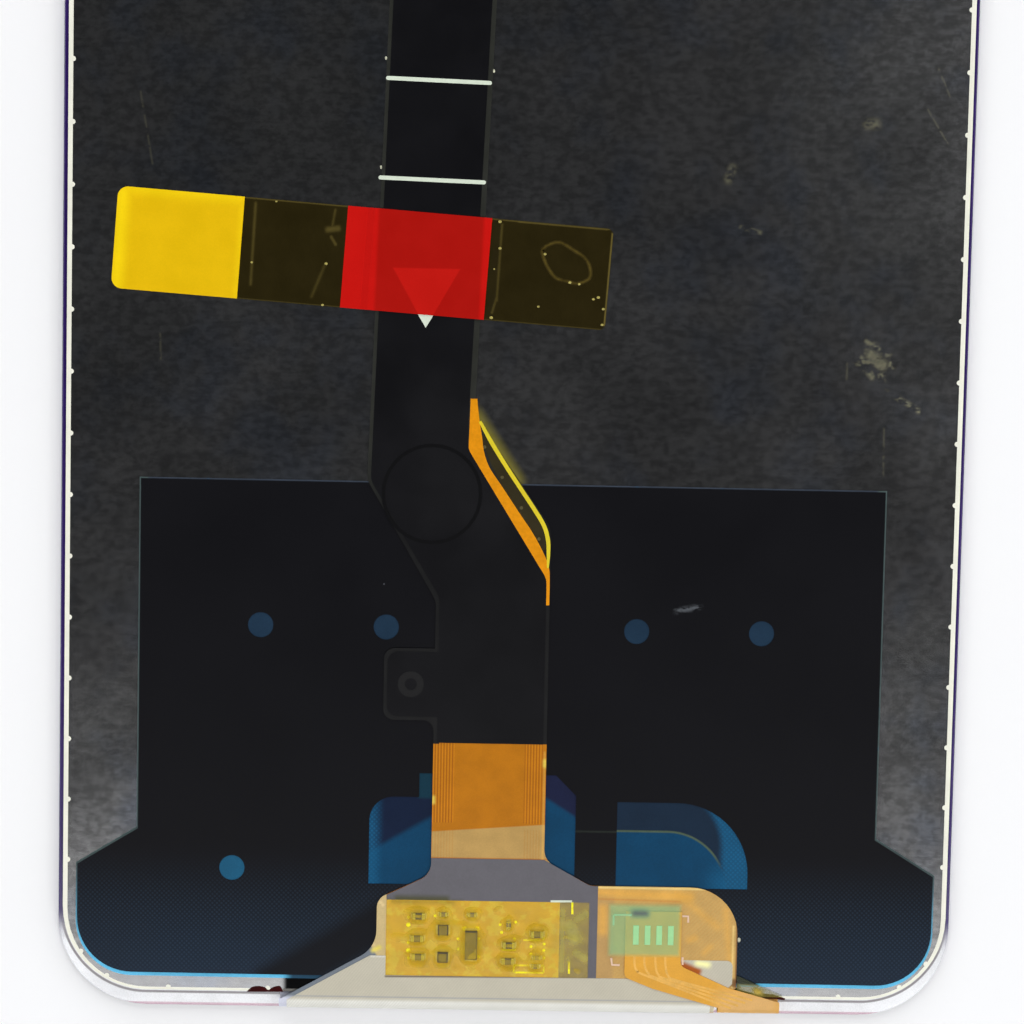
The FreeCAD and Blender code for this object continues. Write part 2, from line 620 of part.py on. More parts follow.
def build_film_stack():
    """Prism films, diffuser, light guide and reflector, from the panel to the back plate."""
    side = f"({CAVITY_SIDE} - film_side_gap)"
    top = f"({CAVITY_TOP} - film_side_gap)"
    high_corner = f"({CAVITY_CORNER} - film_side_gap)"
    film_bottom = f"({STRIP_TOP} + film_strip_gap)"
    guide_corner = "(lamp_bay_corner - film_side_gap - lamp_wall_gap - lamp_depth - lamp_guide_gap)"
    reflector_bottom = f"({CAVITY_BOTTOM} + film_side_gap)"
    reflector_corner = "(lamp_bay_corner - film_side_gap)"
    stack = (
        ("upper_prism_film", Z_UPPER_PRISM, "prism_film_thick", film_bottom, "film_low_corner"),
        ("lower_prism_film", Z_LOWER_PRISM, "prism_film_thick", film_bottom, "film_low_corner"),
        ("diffuser_film", Z_DIFFUSER, "diffuser_film_thick", film_bottom, "film_low_corner"),
        ("light_guide", Z_GUIDE, "guide_thick", GUIDE_BOTTOM, guide_corner),
        ("reflector_film", Z_REFLECTOR, "reflector_film_thick", reflector_bottom, reflector_corner),
    )
    pieces = []
    for label, level, thickness, bottom, low_corner in stack:
        corners = rectangle(minus(side), bottom, side, top, low_corner, high_corner)
        pieces.append(layer(label, corners, level, thickness))
    return pieces


def add_key_row(body, name, centres, length, count):
    """Cut a row of half-round notches: one sketch of circles, repeated along the phone."""
    sketch = new_sketch(body, name, Z_PLATE)
    for across, along in centres:
        draw_circle(sketch, across, along, "key_radius * 2")
    first = add_pocket(body, name, sketch, "plate_thick")
    row = body.newObject("PartDesign::LinearPattern", f"{body.Name}_{name}_row")
    row.Originals = [first]
    row.Direction = (sketch, ["V_Axis"])
    bind(row, "Length", length)
    bind(row, "Occurrences", count)
    body.Tip = row
    doc.recompute()


def build_back_plate():
    """Steel back plate, its edge notched for the keys of the frame moulded round it."""
    corners = rectangle(
        minus(PLATE_SIDE), PLATE_BOTTOM, PLATE_SIDE, PLATE_TOP, PLATE_CORNER, PLATE_CORNER
    )
    body = layer("back_plate", corners, Z_PLATE, "plate_thick")
    span = f"({FRAME_TOP} - {FRAME_BOTTOM} - key_first_rise - key_last_drop)"
    steps = f"floor({span} / key_pitch)"
    low = rise("key_first_rise")
    sides = [(minus(PLATE_SIDE), f"({low} - key_offset)"), (PLATE_SIDE, f"({low} + key_offset)")]
    add_key_row(body, "side_keys", sides, f"{steps} * key_pitch", f"{steps} + 1")
    ends = new_sketch(body, "end_keys", Z_PLATE)
    for index in range(int(value("floor(end_key_reach / end_key_pitch)")) + 1):
        across = f"(end_key_reach - {index} * end_key_pitch)"
        for edge in (PLATE_BOTTOM, PLATE_TOP):
            draw_circle(ends, across, edge, "key_radius * 2")
            draw_circle(ends, minus(across), edge, "key_radius * 2")
    for angle in ("corner_key_angle", "(corner_key_angle + corner_key_step)"):
        across = f"({PLATE_SIDE} - {PLATE_CORNER} * (1 - cos({angle} * 1 deg)))"
        drop = f"{PLATE_CORNER} * (1 - sin({angle} * 1 deg))"
        for along in (f"({PLATE_BOTTOM} + {drop})", f"({PLATE_TOP} - {drop})"):
            draw_circle(ends, across, along, "key_radius * 2")
            draw_circle(ends, minus(across), along, "key_radius * 2")
    add_pocket(body, "end_keys", ends, "plate_thick")
    return body


def build_moulded_frame(plate):
    """Plastic frame moulded round the plate, with the lamp cavity and a slot for the tail."""
    corners = rectangle(
        minus(FRAME_SIDE), FRAME_FOOT, FRAME_SIDE, FRAME_TOP, "frame_corner", "frame_corner"
    )
    blank = layer("frame_blank", corners, Z_FRAME, f"{Z_BACK} - {Z_FRAME}")
    cavity = rectangle(
        minus(CAVITY_SIDE), CAVITY_BOTTOM, CAVITY_SIDE, CAVITY_TOP, "lamp_bay_corner", CAVITY_CORNER
    )
    cut_outline(blank, "cavity", cavity, Z_FRAME, f"{Z_PLATE} - {Z_FRAME}")
    slot = rectangle(
        f"({TAIL_LEFT} - tail_slot_gap)",
        f"({FRAME_BOTTOM} - frame_lamp_wall)",
        f"({TAIL_RIGHT} + tail_slot_gap)",
        f"({CAVITY_BOTTOM} + strip_wall_gap)",
    )
    cut_outline(blank, "tail_slot", slot, Z_FRAME, f"{Z_GUIDE} + tail_slot_gap - {Z_FRAME}")
    frame = doc.addObject("Part::Cut", "moulded_frame")
    frame.Label = "moulded_frame"
    frame.Base = blank
    frame.Tool = plate
    return frame


def build_rear_films():
    """Blue film on the plate and the black film over it, with its holes and windows."""
    wide = f"({FRAME_SIDE} - mask_side_inset)"
    narrow = "(mask_narrow_width / 2)"
    bottom = rise("mask_bottom_inset")

    def film_corners(border, foot):
        """Outline of both films: the blue one is larger by a border."""
        low = f"({bottom} - {foot})"
        sides = [
            (f"({wide} + {border})", f"({bottom} + mask_step_low + {border})"),
            (f"({narrow} + {border})", f"({bottom} + mask_step_high + {border})"),
            (f"({narrow} + {border})", f"({bottom} + mask_height + {border})"),
        ]
        foot_corner = f"(mask_corner + {border})"
        right = (f"({wide} + {border})", f"({low} - mask_right_drop)", foot_corner)
        left = (f"-({wide} + {border})", low, foot_corner)
        return [right] + sides + [(minus(x), y) for x, y in reversed(sides)] + [left]

    liner = layer("blue_film", film_corners("liner_border", "liner_foot"), Z_BACK, "liner_thick")
    mask = layer("black_film", film_corners("0", "0"), Z_MASK, "mask_thick")
    spots = new_sketch(mask, "spots", Z_MASK)
    for step in range(-2, 3):
        draw_circle(spots, f"({step} * spot_pitch)", rise("spot_rise"), "spot_diameter")
    draw_circle(spots, "-low_spot_offset", rise("low_spot_rise"), "spot_diameter")
    add_pocket(mask, "spots", spots, "mask_thick")
    wide_window = [
        ("-wide_window_left", rise("window_low")),
        ("wide_window_right", rise("window_low")),
        ("wide_window_right", rise("(wide_window_high - wide_window_bevel)")),
        ("(wide_window_right - wide_window_bevel)", rise("wide_window_high")),
        ("-wide_window_shoulder", rise("wide_window_high")),
        ("-wide_window_shoulder", rise("wide_window_step")),
        ("-wide_window_left", rise("wide_window_step"), "wide_window_corner"),
    ]
    cut_outline(mask, "wide_window", wide_window, Z_MASK, "mask_thick")
    side_window = [
        ("side_window_left", rise("window_low")),
        ("side_window_right", rise("window_low")),
        ("side_window_right", rise("side_window_high"), "side_window_corner"),
        ("side_window_left", rise("side_window_high")),
    ]
    cut_outline(mask, "side_window", side_window, Z_MASK, "mask_thick")
    return [liner, mask]


def fold_profile(fold_line, low, high, thickness, inner_run, outer_run):
    """Section of a sheet that runs out at one height, folds back half round and runs in higher.

    The half-round is two arcs about one centre, so the sheet keeps its thickness.
    """
    centre = f"(({low} + {high} + {thickness}) / 2)"
    return {
        "fold": fold_line,
        "centre": centre,
        "outer": f"(({high} + {thickness} - {low}) / 2)",
        "inner": f"(({high} - {low} - {thickness}) / 2)",
        "inner_run": inner_run,
        "outer_run": outer_run,
    }


def draw_fold(sketch, profile):
    """Draw a fold section: two half circles joined by a lower run and an upper run."""
    fold, centre = value(profile["fold"]), value(profile["centre"])
    outer, inner = value(profile["outer"]), value(profile["inner"])
    low_end = fold + value(profile["inner_run"])
    high_end = fold + value(profile["outer_run"])

    def point(along, height):
        return FreeCAD.Vector(along, height, 0)

    def half_round(radius):
        return Part.Arc(
            point(fold, centre + radius), point(fold - radius, centre), point(fold, centre - radius)
        )

    geometry = [
        half_round(outer),
        Part.LineSegment(point(fold, centre - outer), point(low_end, centre - outer)),
        Part.LineSegment(point(low_end, centre - outer), point(low_end, centre - inner)),
        Part.LineSegment(point(low_end, centre - inner), point(fold, centre - inner)),
        half_round(inner),
        Part.LineSegment(point(fold, centre + inner), point(high_end, centre + inner)),
        Part.LineSegment(point(high_end, centre + inner), point(high_end, centre + outer)),
        Part.LineSegment(point(high_end, centre + outer), point(fold, centre + outer)),
    ]
    sketch.addGeometry(geometry, False)
    top, bottom = (1, 2) if sketch.getPoint(0, 1).y > centre else (2, 1)
    join = Sketcher.Constraint
    sketch.addConstraint([
        join("Tangent", 0, bottom, 1, 1),
        join("Coincident", 1, 2, 2, 1),
        join("Coincident", 2, 2, 3, 1),
        join("Tangent", 3, 2, 4, bottom),
        join("Tangent", 4, top, 5, 1),
        join("Coincident", 5, 2, 6, 1),
        join("Coincident", 6, 2, 7, 1),
        join("Tangent", 7, 2, 0, top),
        join("Coincident", 0, 3, 4, 3),
        join("Horizontal", 1),
        join("Vertical", 2),
        join("Horizontal", 3),
        join("Horizontal", 5),
        join("Vertical", 6),
        join("Horizontal", 7),
    ])
    ties = (
        (join("DistanceX", -1, 1, 0, 3, fold), profile["fold"]),
        (join("DistanceY", -1, 1, 0, 3, centre), profile["centre"]),
        (join("Radius", 0, outer), profile["outer"]),
        (join("Radius", 4, inner), profile["inner"]),
        (join("DistanceX", -1, 1, 2, 1, low_end), f"{profile['fold']} + {profile['inner_run']}"),
        (join("DistanceX", -1, 1, 6, 1, high_end), f"{profile['fold']} + {profile['outer_run']}"),
    )
    for constraint, expression in ties:
        number = sketch.addConstraint(constraint)
        bind(sketch, f"Constraints[{number}]", expression)


def pad_fold(body, profile, left, right):
    """Pad a fold section across the phone between two places."""
    sketch = new_sketch(body, "fold", left, plane="YZ_Plane")
    draw_fold(sketch, profile)
    return add_pad(body, "fold", sketch, f"{right} - ({left})")


def build_main_flex():
    """Main flex: bonded under the ledge, folded round the bottom edge, then flat on the back.

    The flat part has a wing and a branch beside the component area, a stem with an ear,
    and a cable that leans across to the head with the connector.
    """
    body = new_body("main_flex")
    turn = "flex_turn"
    head_left = f"({HEAD_CENTRE} - head_width / 2)"
    head_right = f"({HEAD_CENTRE} + head_width / 2)"
    head_top = rise(f"({HEAD_RISE} + head_length)")
    ear_left = f"({STEM_LEFT} - ear_reach)"
    outline = [
        ("-fold_left", FOLD_LINE),
        ("fold_right", FOLD_LINE),
        ("branch_side", rise("branch_foot_rise")),
        ("branch_side", rise("branch_top_rise"), "branch_corner"),
        (f"({STEM_RIGHT} + flare_reach)", rise("branch_top_rise"), turn),
        (STEM_RIGHT, rise("(branch_top_rise + flare_height)"), turn),
        (STEM_RIGHT, rise("stem_right_rise"), turn),
        (CABLE_RIGHT, rise("cable_right_rise"), turn),
        (f"({CABLE_RIGHT} + cable_drift)", rise("cable_top_rise"), "head_corner"),
        (head_right, rise(HEAD_RISE), "head_corner"),
        (head_right, head_top, "head_corner"),
        (head_left, head_top, "head_corner"),
        (head_left, rise(HEAD_RISE), "head_corner"),
        (f"({CABLE_LEFT} + cable_drift)", rise("cable_top_rise"), "head_corner"),
        (CABLE_LEFT, rise("cable_left_rise"), turn),
        (STEM_LEFT, rise("stem_left_rise"), turn),
        (STEM_LEFT, rise("(ear_low_rise + ear_height)")),
        (ear_left, rise("(ear_low_rise + ear_height)"), "ear_corner"),
        (ear_left, rise("ear_low_rise"), "ear_corner"),
        (STEM_LEFT, rise("ear_low_rise"), "ear_corner"),
        (STEM_LEFT, rise("wing_root_rise"), turn),
        ("-wing_side", rise("wing_top_rise"), "wing_corner"),
        ("-wing_side", rise("wing_foot_rise"), "wing_foot_corner"),
    ]
    pad_outline(body, "flat", outline, Z_FLEX, "flex_thick")
    low = f"({Z_TFT} - flex_thick)"
    bond = f"({LEDGE_EDGE} + bond_depth - {FOLD_LINE})"
    profile = fold_profile(FOLD_LINE, low, Z_FLEX, "flex_thick", bond, "flex_thick")
    pad_fold(body, profile, "-fold_left", "fold_right")
    board = rectangle("-board_left", rise("board_low_rise"), "board_right", rise("board_high_rise"))
    pad_outline(body, "component_layer", board, Z_COVERLAY, "coverlay_thick")
    return body


def build_flex_layers():
    """Black film on the cable, grey film beside the components, tape over the fold."""
    inset = "shield_inset"
    ear_left = f"({STEM_LEFT} - ear_reach + {inset})"
    cable_top = rise("(cable_top_rise - shield_inset)")
    shield = [
        (f"({STEM_LEFT} + {inset})", rise("shield_low_rise")),
        (f"({STEM_RIGHT} - {inset})", rise("shield_low_rise")),
        (f"({STEM_RIGHT} - {inset})", rise("shield_stem_rise"), "flex_turn"),
        (f"({CABLE_RIGHT} - shield_cable_inset)", rise("shield_cable_rise"), "flex_turn"),
        (f"({CABLE_RIGHT} - shield_cable_inset)", rise("cable_right_rise")),
        (f"({CABLE_RIGHT} + cable_drift - {inset})", cable_top),
        (f"({CABLE_LEFT} + cable_drift + {inset})", cable_top),
        (f"({CABLE_LEFT} + {inset})", rise("cable_left_rise"), "flex_turn"),
        (f"({STEM_LEFT} + {inset})", rise(f"(stem_left_rise + {inset})"), "flex_turn"),
        (f"({STEM_LEFT} + {inset})", rise(f"(ear_low_rise + ear_height - {inset})")),
        (ear_left, rise(f"(ear_low_rise + ear_height - {inset})"), "ear_corner"),
        (ear_left, rise(f"(ear_low_rise + {inset})"), "ear_corner"),
        (f"({STEM_LEFT} + {inset})", rise(f"(ear_low_rise + {inset})")),
    ]
    grey = [
        (STEM_LEFT, rise("grey_top_rise")),
        (STEM_LEFT, rise("wing_root_rise"), "flex_turn"),
        ("-board_left", rise("(wing_root_rise - grey_left_drop)")),
        ("-board_left", rise("board_high_rise")),
        ("board_right", rise("board_high_rise")),
        ("board_right", rise("board_low_rise")),
        ("grey_right", rise("board_low_rise")),
        ("grey_right", rise("branch_top_rise")),
        (f"({STEM_RIGHT} + flare_reach)", rise("branch_top_rise"), "flex_turn"),
        (STEM_RIGHT, rise("grey_top_rise")),
    ]
    tape = new_body("bend_tape")
    tape_outline = [
        ("(bend_tape_left_inset - fold_left)", FOLD_LINE),
        ("(fold_right - bend_tape_inset)", FOLD_LINE),
        ("(branch_side - bend_tape_inset)", rise("(branch_foot_rise + bend_tape_inset)")),
        ("(branch_side - bend_tape_inset)", rise("bend_tape_window_rise"), "bend_tape_turn"),
        ("bend_tape_window_left", rise("bend_tape_window_rise"), "bend_tape_turn"),
        ("bend_tape_window_left", rise("board_low_rise")),
        ("-board_left", rise("board_low_rise")),
        ("-board_left", rise("bend_tape_left_rise")),
        (f"(bend_tape_left_inset - {WING_LINE})", rise("bend_tape_left_rise")),
    ]
    pad_outline(tape, "flat", tape_outline, Z_COVERLAY, "coverlay_thick")
    under = f"({Z_TFT} - flex_thick - coverlay_thick)"
    wrap = fold_profile(
        FOLD_LINE, under, Z_COVERLAY, "coverlay_thick", "bend_tape_return", "coverlay_thick"
    )
    pad_fold(tape, wrap, "(bend_tape_left_inset - fold_left)", "(fold_right - bend_tape_inset)")
    return [
        layer("cable_shield_film", shield, Z_COVERLAY, "coverlay_thick"),
        layer("grey_shield_film", grey, Z_COVERLAY, "coverlay_thick"),
        tape,
    ]


def build_ear_ring():
    """Flat ring on the ear."""
    body = new_body("ear_ring")
    across = f"({STEM_LEFT} - ear_ring_offset)"
    along = rise("(ear_low_rise + ear_height / 2)")
    sketch = new_sketch(body, "ring", Z_TAIL)
    draw_circle(sketch, across, along, "ear_ring_diameter")
    draw_circle(sketch, across, along, "ear_ring_bore")
    add_pad(body, "ring", sketch, "ear_ring_thick")
    return body


def component(name, place, length, width, height, turned):
    """One component on the component area, standing on its solder lands, and its two lands."""
    across = f"({place[0]} - board_left)"
    along = rise(f"(board_low_rise + {place[1]})")
    size = (width, length) if turned else (length, width)
    body = box(
        name,
        f"{across} - {size[0]} / 2",
        f"{along} - {size[1]} / 2",
        f"{Z_TAIL} + land_thick",
        size[0],
        size[1],
        height,
    )
    lands = []
    for end, side in (("a", "-"), ("b", "+")):
        shift = f"{side} {length} / 2 - land_length / 2"
        land_size = (width, "land_length") if turned else ("land_length", width)
        lands.append(box(
            f"{name}_land_{end}",
            f"{across} - {width} / 2" if turned else f"{across} {shift}",
            f"{along} {shift}" if turned else f"{along} - {width} / 2",
            Z_TAIL,
            land_size[0],
            land_size[1],
            "land_thick",
        ))
    return body, lands


def build_components():
    """Chip capacitors, resistors, diodes and the memory chip, with their solder lands."""
    kinds = (
        ("chip_capacitors", CAPACITOR_PLACES, "capacitor_length", "capacitor_width",
         "capacitor_height"),
        ("chip_resistors", RESISTOR_PLACES, "resistor_length", "resistor_width",
         "resistor_height"),
        ("protection_diodes", DIODE_PLACES, "diode_side", "diode_side", "diode_height"),
        ("memory_chip", MEMORY_PLACES, "memory_length", "memory_width", "memory_height"),
    )
    pieces, lands = [], []
    for label, places, length, width, height in kinds:
        bodies = []
        for number, place in enumerate(places, start=1):
            turned = place[2] if len(place) > 2 else label == "memory_chip"
            name = f"{label}_{number}"
            body, pair = component(name, place, length, width, height, turned)
            bodies.append(body)
            lands += pair
        pieces.append(group(label, bodies))
    return pieces + [group("solder_lands", lands)]


def build_component_tape():
    """Clear tape over the components: a flat border and a raised middle with sloping sides."""
    body = new_body("component_tape")
    low, high = "board_low_rise", "board_high_rise"
    border = rectangle(
        "-board_left",
        rise(low),
        "component_tape_right",
        rise(high),
        "component_tape_corner",
        "component_tape_corner",
    )
    pad_outline(body, "border", border, Z_TAIL, "component_tape_thick")
    room = "(land_thick + capacitor_height + component_tape_headroom)"

    def middle(margin):
        """The raised middle, inside the border by a margin."""
        return rectangle(
            f"({margin} - board_left)",
            rise(f"({low} + {margin})"),
            f"(component_tape_right - {margin})",
            rise(f"({high} - {margin})"),
        )

    flange = "component_tape_flange"
    raised = pad_outline(body, "raised", middle(flange), Z_TAIL, f"{room} + component_tape_thick")
    bind(raised, "TaperAngle", "-component_tape_slope")
    hollow_margin = f"({flange} + component_tape_thick)"
    hollow = cut_outline(body, "hollow", middle(hollow_margin), Z_TAIL, room)
    bind(hollow, "TaperAngle", "-component_tape_slope")
    doc.recompute()
    return body


def build_backlight_strip():
    """Printed strip with the lamps, and its tail: out through the frame, folded round the bottom
    edge and laid over the branch of the main flex, with slots for its solder joints."""
    body = new_body("backlight_flex")
    strip_low = f"({Z_GUIDE} - strip_thick)"
    strip = rectangle(minus(STRIP_SIDE), STRIP_BOTTOM, STRIP_SIDE, STRIP_TOP)
    pad_outline(body, "strip", strip, strip_low, "strip_thick")
    end_left = "(tail_end_centre - tail_end_width / 2)"
    end_right = "(tail_end_centre + tail_end_width / 2)"
    profile = fold_profile(
        TAIL_FOLD_LINE, strip_low, Z_TAIL, "strip_thick",
        f"({STRIP_TOP} - {TAIL_FOLD_LINE})", "strip_thick",
    )
    pad_fold(body, profile, TAIL_LEFT, TAIL_RIGHT)
    tail = [
        (TAIL_LEFT, TAIL_FOLD_LINE),
        (TAIL_RIGHT, TAIL_FOLD_LINE),
        (TAIL_RIGHT, rise("tail_shoulder_rise")),
        ("tail_upper_offset", rise("tail_upper_rise")),
        (end_right, rise("tail_root_rise"), "tail_turn"),
        (end_right, rise("tail_end_rise")),
        (end_left, rise("tail_end_rise")),
        (end_left, rise("tail_heel_rise"), "tail_turn"),
        ("tail_lower_offset", rise("tail_lower_rise")),
    ]
    pad_outline(body, "tail", tail, Z_TAIL, "strip_thick")
    slots = new_sketch(body, "slots", Z_TAIL)
    joints = []
    for index in range(int(value("joint_count"))):
        across = f"(tail_end_centre + ({index} - (joint_count - 1) / 2) * joint_pitch)"
        left = f"({across} - joint_width / 2)"
        right = f"({across} + joint_width / 2)"
        draw_outline(
            slots, rectangle(left, rise("joint_rise"), right, rise("(joint_rise + joint_length)"))
        )
        joints.append(box(
            f"solder_joint_{index + 1}",
            left,
            rise("joint_rise"),
            Z_COVERLAY,
            "joint_width",
            "joint_length",
            f"{Z_PATCH} - {Z_COVERLAY}",
        ))
    add_pocket(body, "slots", slots, "strip_thick")
    return [body, group("solder_joints", joints)]


def build_lamps():
    """Side-firing lamps under the strip, against the edge of the light guide."""
    lamps = []
    for index in range(int(value("lamp_count"))):
        lamps.append(box(
            f"lamp_{index + 1}",
            f"{LAMP_REACH} * (2 * {index} / (lamp_count - 1) - 1) - lamp_length / 2",
            LAMP_BOTTOM,
            Z_GUIDE,
            "lamp_length",
            "lamp_depth",
            "guide_thick",
        ))
    return group("backlight_lamps", lamps)


def build_tail_tapes():
    """Green tape over the solder joints and amber tape that holds the tail beside the branch."""
    patch = rectangle("patch_left", rise("patch_low_rise"), "patch_right", rise("patch_high_rise"))
    left = "(branch_side + tail_pad_gap)"
    pad = [
        (left, rise("tail_pad_foot_rise")),
        ("tail_pad_right", rise("tail_pad_foot_rise")),
        ("tail_pad_right", rise("tail_pad_right_rise")),
        (left, rise("tail_pad_left_rise")),
    ]
    return [
        layer("joint_tape", patch, Z_PATCH, "patch_thick"),
        layer("tail_tape", pad, Z_FLEX, f"{Z_TAIL} - {Z_FLEX}"),
    ]


def strap_path(start, stop, lift):
    """Points along the strap's length that follow the plate and step up over the cable.

    The places run from the strap's own middle, and lift is the height over the plate.
    """
    foot_left = f"({STRAP_CABLE} - cable_width / 2 - bridge_gap)"
    foot_right = f"({STRAP_CABLE} + cable_width / 2 + bridge_gap)"
    low = f"({Z_BACK} + {lift})"
    high = f"({Z_TAIL} + {lift})"
    knees = [
        (f"({foot_left} - bridge_ramp)", low),
        (foot_left, high),
        (foot_right, high),
        (f"({foot_right} + bridge_ramp)", low),
    ]
    begin, end = value(start), value(stop)
    inside = [knee for knee in knees if begin < value(knee[0]) < end]
    raised = value(foot_left) < end < value(foot_right)
    return [(start, low)] + inside + [(stop, high if raised else low)]


def strap_layer(label, start, stop, under, thickness):
    """A layer of the hold-down strip between two places along it."""
    body = new_body(label)
    sketch = new_sketch(body, "section", "-strap_width / 2", plane="XZ_Plane")
    top = strap_path(start, stop, f"({under} + {thickness})")
    draw_outline(sketch, strap_path(start, stop, under) + top[::-1])
    add_pad(body, "section", sketch, "strap_width")
    turn = FreeCAD.Rotation(FreeCAD.Vector(0, 0, 1), value("strap_angle"))
    body.Placement = FreeCAD.Placement(FreeCAD.Vector(0, 0, 0), turn)
    bind(body, "Placement.Rotation.Angle", "strap_angle")
    bind(body, "Placement.Base.x", "strap_centre")
    bind(body, "Placement.Base.y", rise("strap_rise"))
    return body


def round_strap_end(body, end, radius):
    """Round both corners of a strap layer at one end."""
    tip = body.Tip
    place = value(end)
    names = [
        f"Edge{number}"
        for number, edge in enumerate(tip.Shape.Edges, start=1)
        if abs(edge.BoundBox.ZLength - edge.Length) < 1e-6
        and abs(edge.CenterOfMass.x - place) < 1e-6
    ]
    rounding = body.newObject("PartDesign::Fillet", f"{body.Name}_{radius}")
    rounding.Base = (tip, names)
    bind(rounding, "Radius", radius)
    doc.recompute()


def build_strap():
    """Amber tape across the cable, the yellow film on its left end and the red one on the cable."""
    left, right = "(-strap_length / 2)", "(strap_length / 2)"
    strap = strap_layer("hold_down_tape", left, right, "0", "strap_thick")
    round_strap_end(strap, left, "strap_corner")
    round_strap_end(strap, right, "strap_end_corner")
    tab_end = f"({left} + tab_length)"
    tab = strap_layer("pull_tab", left, tab_end, "strap_thick", "tab_thick")
    round_strap_end(tab, left, "strap_corner")
    red_left = f"({STRAP_CABLE} - cable_width / 2 - marker_left)"
    red_right = f"({STRAP_CABLE} + cable_width / 2 + marker_right)"
    marker = strap_layer("red_marker", red_left, red_right, "strap_thick", "marker_thick")
    return [strap, tab, marker]


def build_cable_seat():
    """Adhesive between cable and plate, and the steel stiffener under the head."""
    drift = "cable_drift"
    low = rise("(mask_bottom_inset + mask_height + liner_border + cable_tape_gap)")
    high = rise("(cable_top_rise - cable_tape_gap)")
    adhesive = [
        (f"({CABLE_LEFT} + cable_tape_inset)", low),
        (f"({CABLE_RIGHT} - cable_tape_inset)", low),
        (f"({CABLE_RIGHT} + {drift} - cable_tape_inset)", high),
        (f"({CABLE_LEFT} + {drift} + cable_tape_inset)", high),
    ]
    half = "(head_width / 2 - stiffener_inset)"
    stiffener = rectangle(
        f"({HEAD_CENTRE} - {half})",
        rise(f"({HEAD_RISE} + stiffener_inset)"),
        f"({HEAD_CENTRE} + {half})",
        rise(f"({HEAD_RISE} + head_length - stiffener_inset)"),
        "head_corner",
        "head_corner",
    )
    thickness = f"{Z_FLEX} - {Z_BACK}"
    return [
        layer("cable_adhesive", adhesive, Z_BACK, thickness),
        layer("connector_stiffener", stiffener, Z_BACK, thickness),
    ]


def build_connector():
    """Board connector on the head: a tray with a middle rib and two rows of contacts."""
    body = new_body("board_connector")
    centre = rise(f"({HEAD_RISE} + head_length / 2)")

    def block(half_length, half_width):
        """A rectangle about the middle of the head."""
        return rectangle(
            f"({HEAD_CENTRE} - {half_length})",
            f"({centre} - {half_width})",
            f"({HEAD_CENTRE} + {half_length})",
            f"({centre} + {half_width})",
        )

    half_length, half_width = "(connector_length / 2)", "(connector_width / 2)"
    pad_outline(body, "tray", block(half_length, half_width), Z_COVERLAY, "connector_height")
    floor = f"({Z_COVERLAY} + connector_floor)"
    depth = "connector_height - connector_floor"
    inside = block(f"({half_length} - connector_wall)", f"({half_width} - connector_wall)")
    cut_outline(body, "inside", inside, floor, depth)
    rib = block(
        f"({half_length} - connector_wall - connector_rib_inset)", "(connector_rib_width / 2)"
    )
    pad_outline(body, "rib", rib, floor, depth)
    contacts = []
    for row in (-1, 1):
        rib_side = f"({centre} + {row} * connector_rib_width / 2)"
        wall_side = f"({centre} + {row} * (connector_width / 2 - connector_wall))"
        outside = f"({centre} + {row} * connector_width / 2)"
        inner_start = rib_side if row > 0 else wall_side
        inner_width = "(connector_width / 2 - connector_wall - connector_rib_width / 2)"
        foot_start = outside if row > 0 else f"({outside} - contact_foot)"
        for index in range(int(value("contact_count"))):
            left = (
                f"({HEAD_CENTRE} + ({index} - (contact_count - 1) / 2) * contact_pitch"
                f" - contact_width / 2)"
            )
            tag = f"{'upper' if row > 0 else 'lower'}_{index + 1}"
            contacts.append(box(
                f"contact_{tag}", left, inner_start, floor,
                "contact_width", inner_width, "contact_height",
            ))
            contacts.append(box(
                f"contact_foot_{tag}", left, foot_start, Z_COVERLAY,
                "contact_width", "contact_foot", "contact_foot_thick",
            ))
    return [body, group("connector_contacts", contacts)]


def build_module():
    """Every piece of the module, from the cover glass to the connector."""
    plate = build_back_plate()
    pieces = [build_cover_glass()]
    pieces += build_panel()
    pieces.append(build_rim_tape())
    pieces += build_film_stack()
    pieces += [build_moulded_frame(plate), plate]
    pieces += build_rear_films()
    pieces.append(build_main_flex())
    pieces += build_flex_layers()
    pieces.append(build_ear_ring())
    pieces += build_components()
    pieces.append(build_component_tape())
    pieces += build_backlight_strip()
    pieces.append(build_lamps())
    pieces += build_tail_tapes()
    pieces += build_strap()
    pieces += build_cable_seat()
    pieces += build_connector()
    return pieces


def check_document():
    """Stop if any object of the document failed to build."""
    for item in doc.Objects:
        if "Invalid" in item.State or "Error" in item.State:
            raise RuntimeError(f"{item.Name} is {item.State}")


def check_shape(piece):
    """Stop if a piece's shape is empty or broken."""
    if piece.Shape.isNull() or not piece.Shape.isValid() or not piece.Shape.Solids:
        raise RuntimeError(f"{piece.Label} has no valid solid")


os.makedirs("parts", exist_ok=True)
module = build_module()
doc.recompute()
check_document()
for piece in module:
    check_shape(piece)
for piece in module:
    piece.Shape.exportStep(f"parts/{piece.Label}.step")
    solids = len(piece.Shape.Solids)
    print(f"{piece.Label}: {solids} solid(s), {piece.Shape.Volume:.3f} mm3")
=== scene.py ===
"""Finishes, printed marks, light and camera of the phone screen module."""

from __future__ import annotations

import logging
import math
from collections.abc import Sequence
from dataclasses import dataclass
from enum import Enum

import bmesh
import bpy
from mathutils import Matrix, Vector, noise
from mathutils.bvhtree import BVHTree


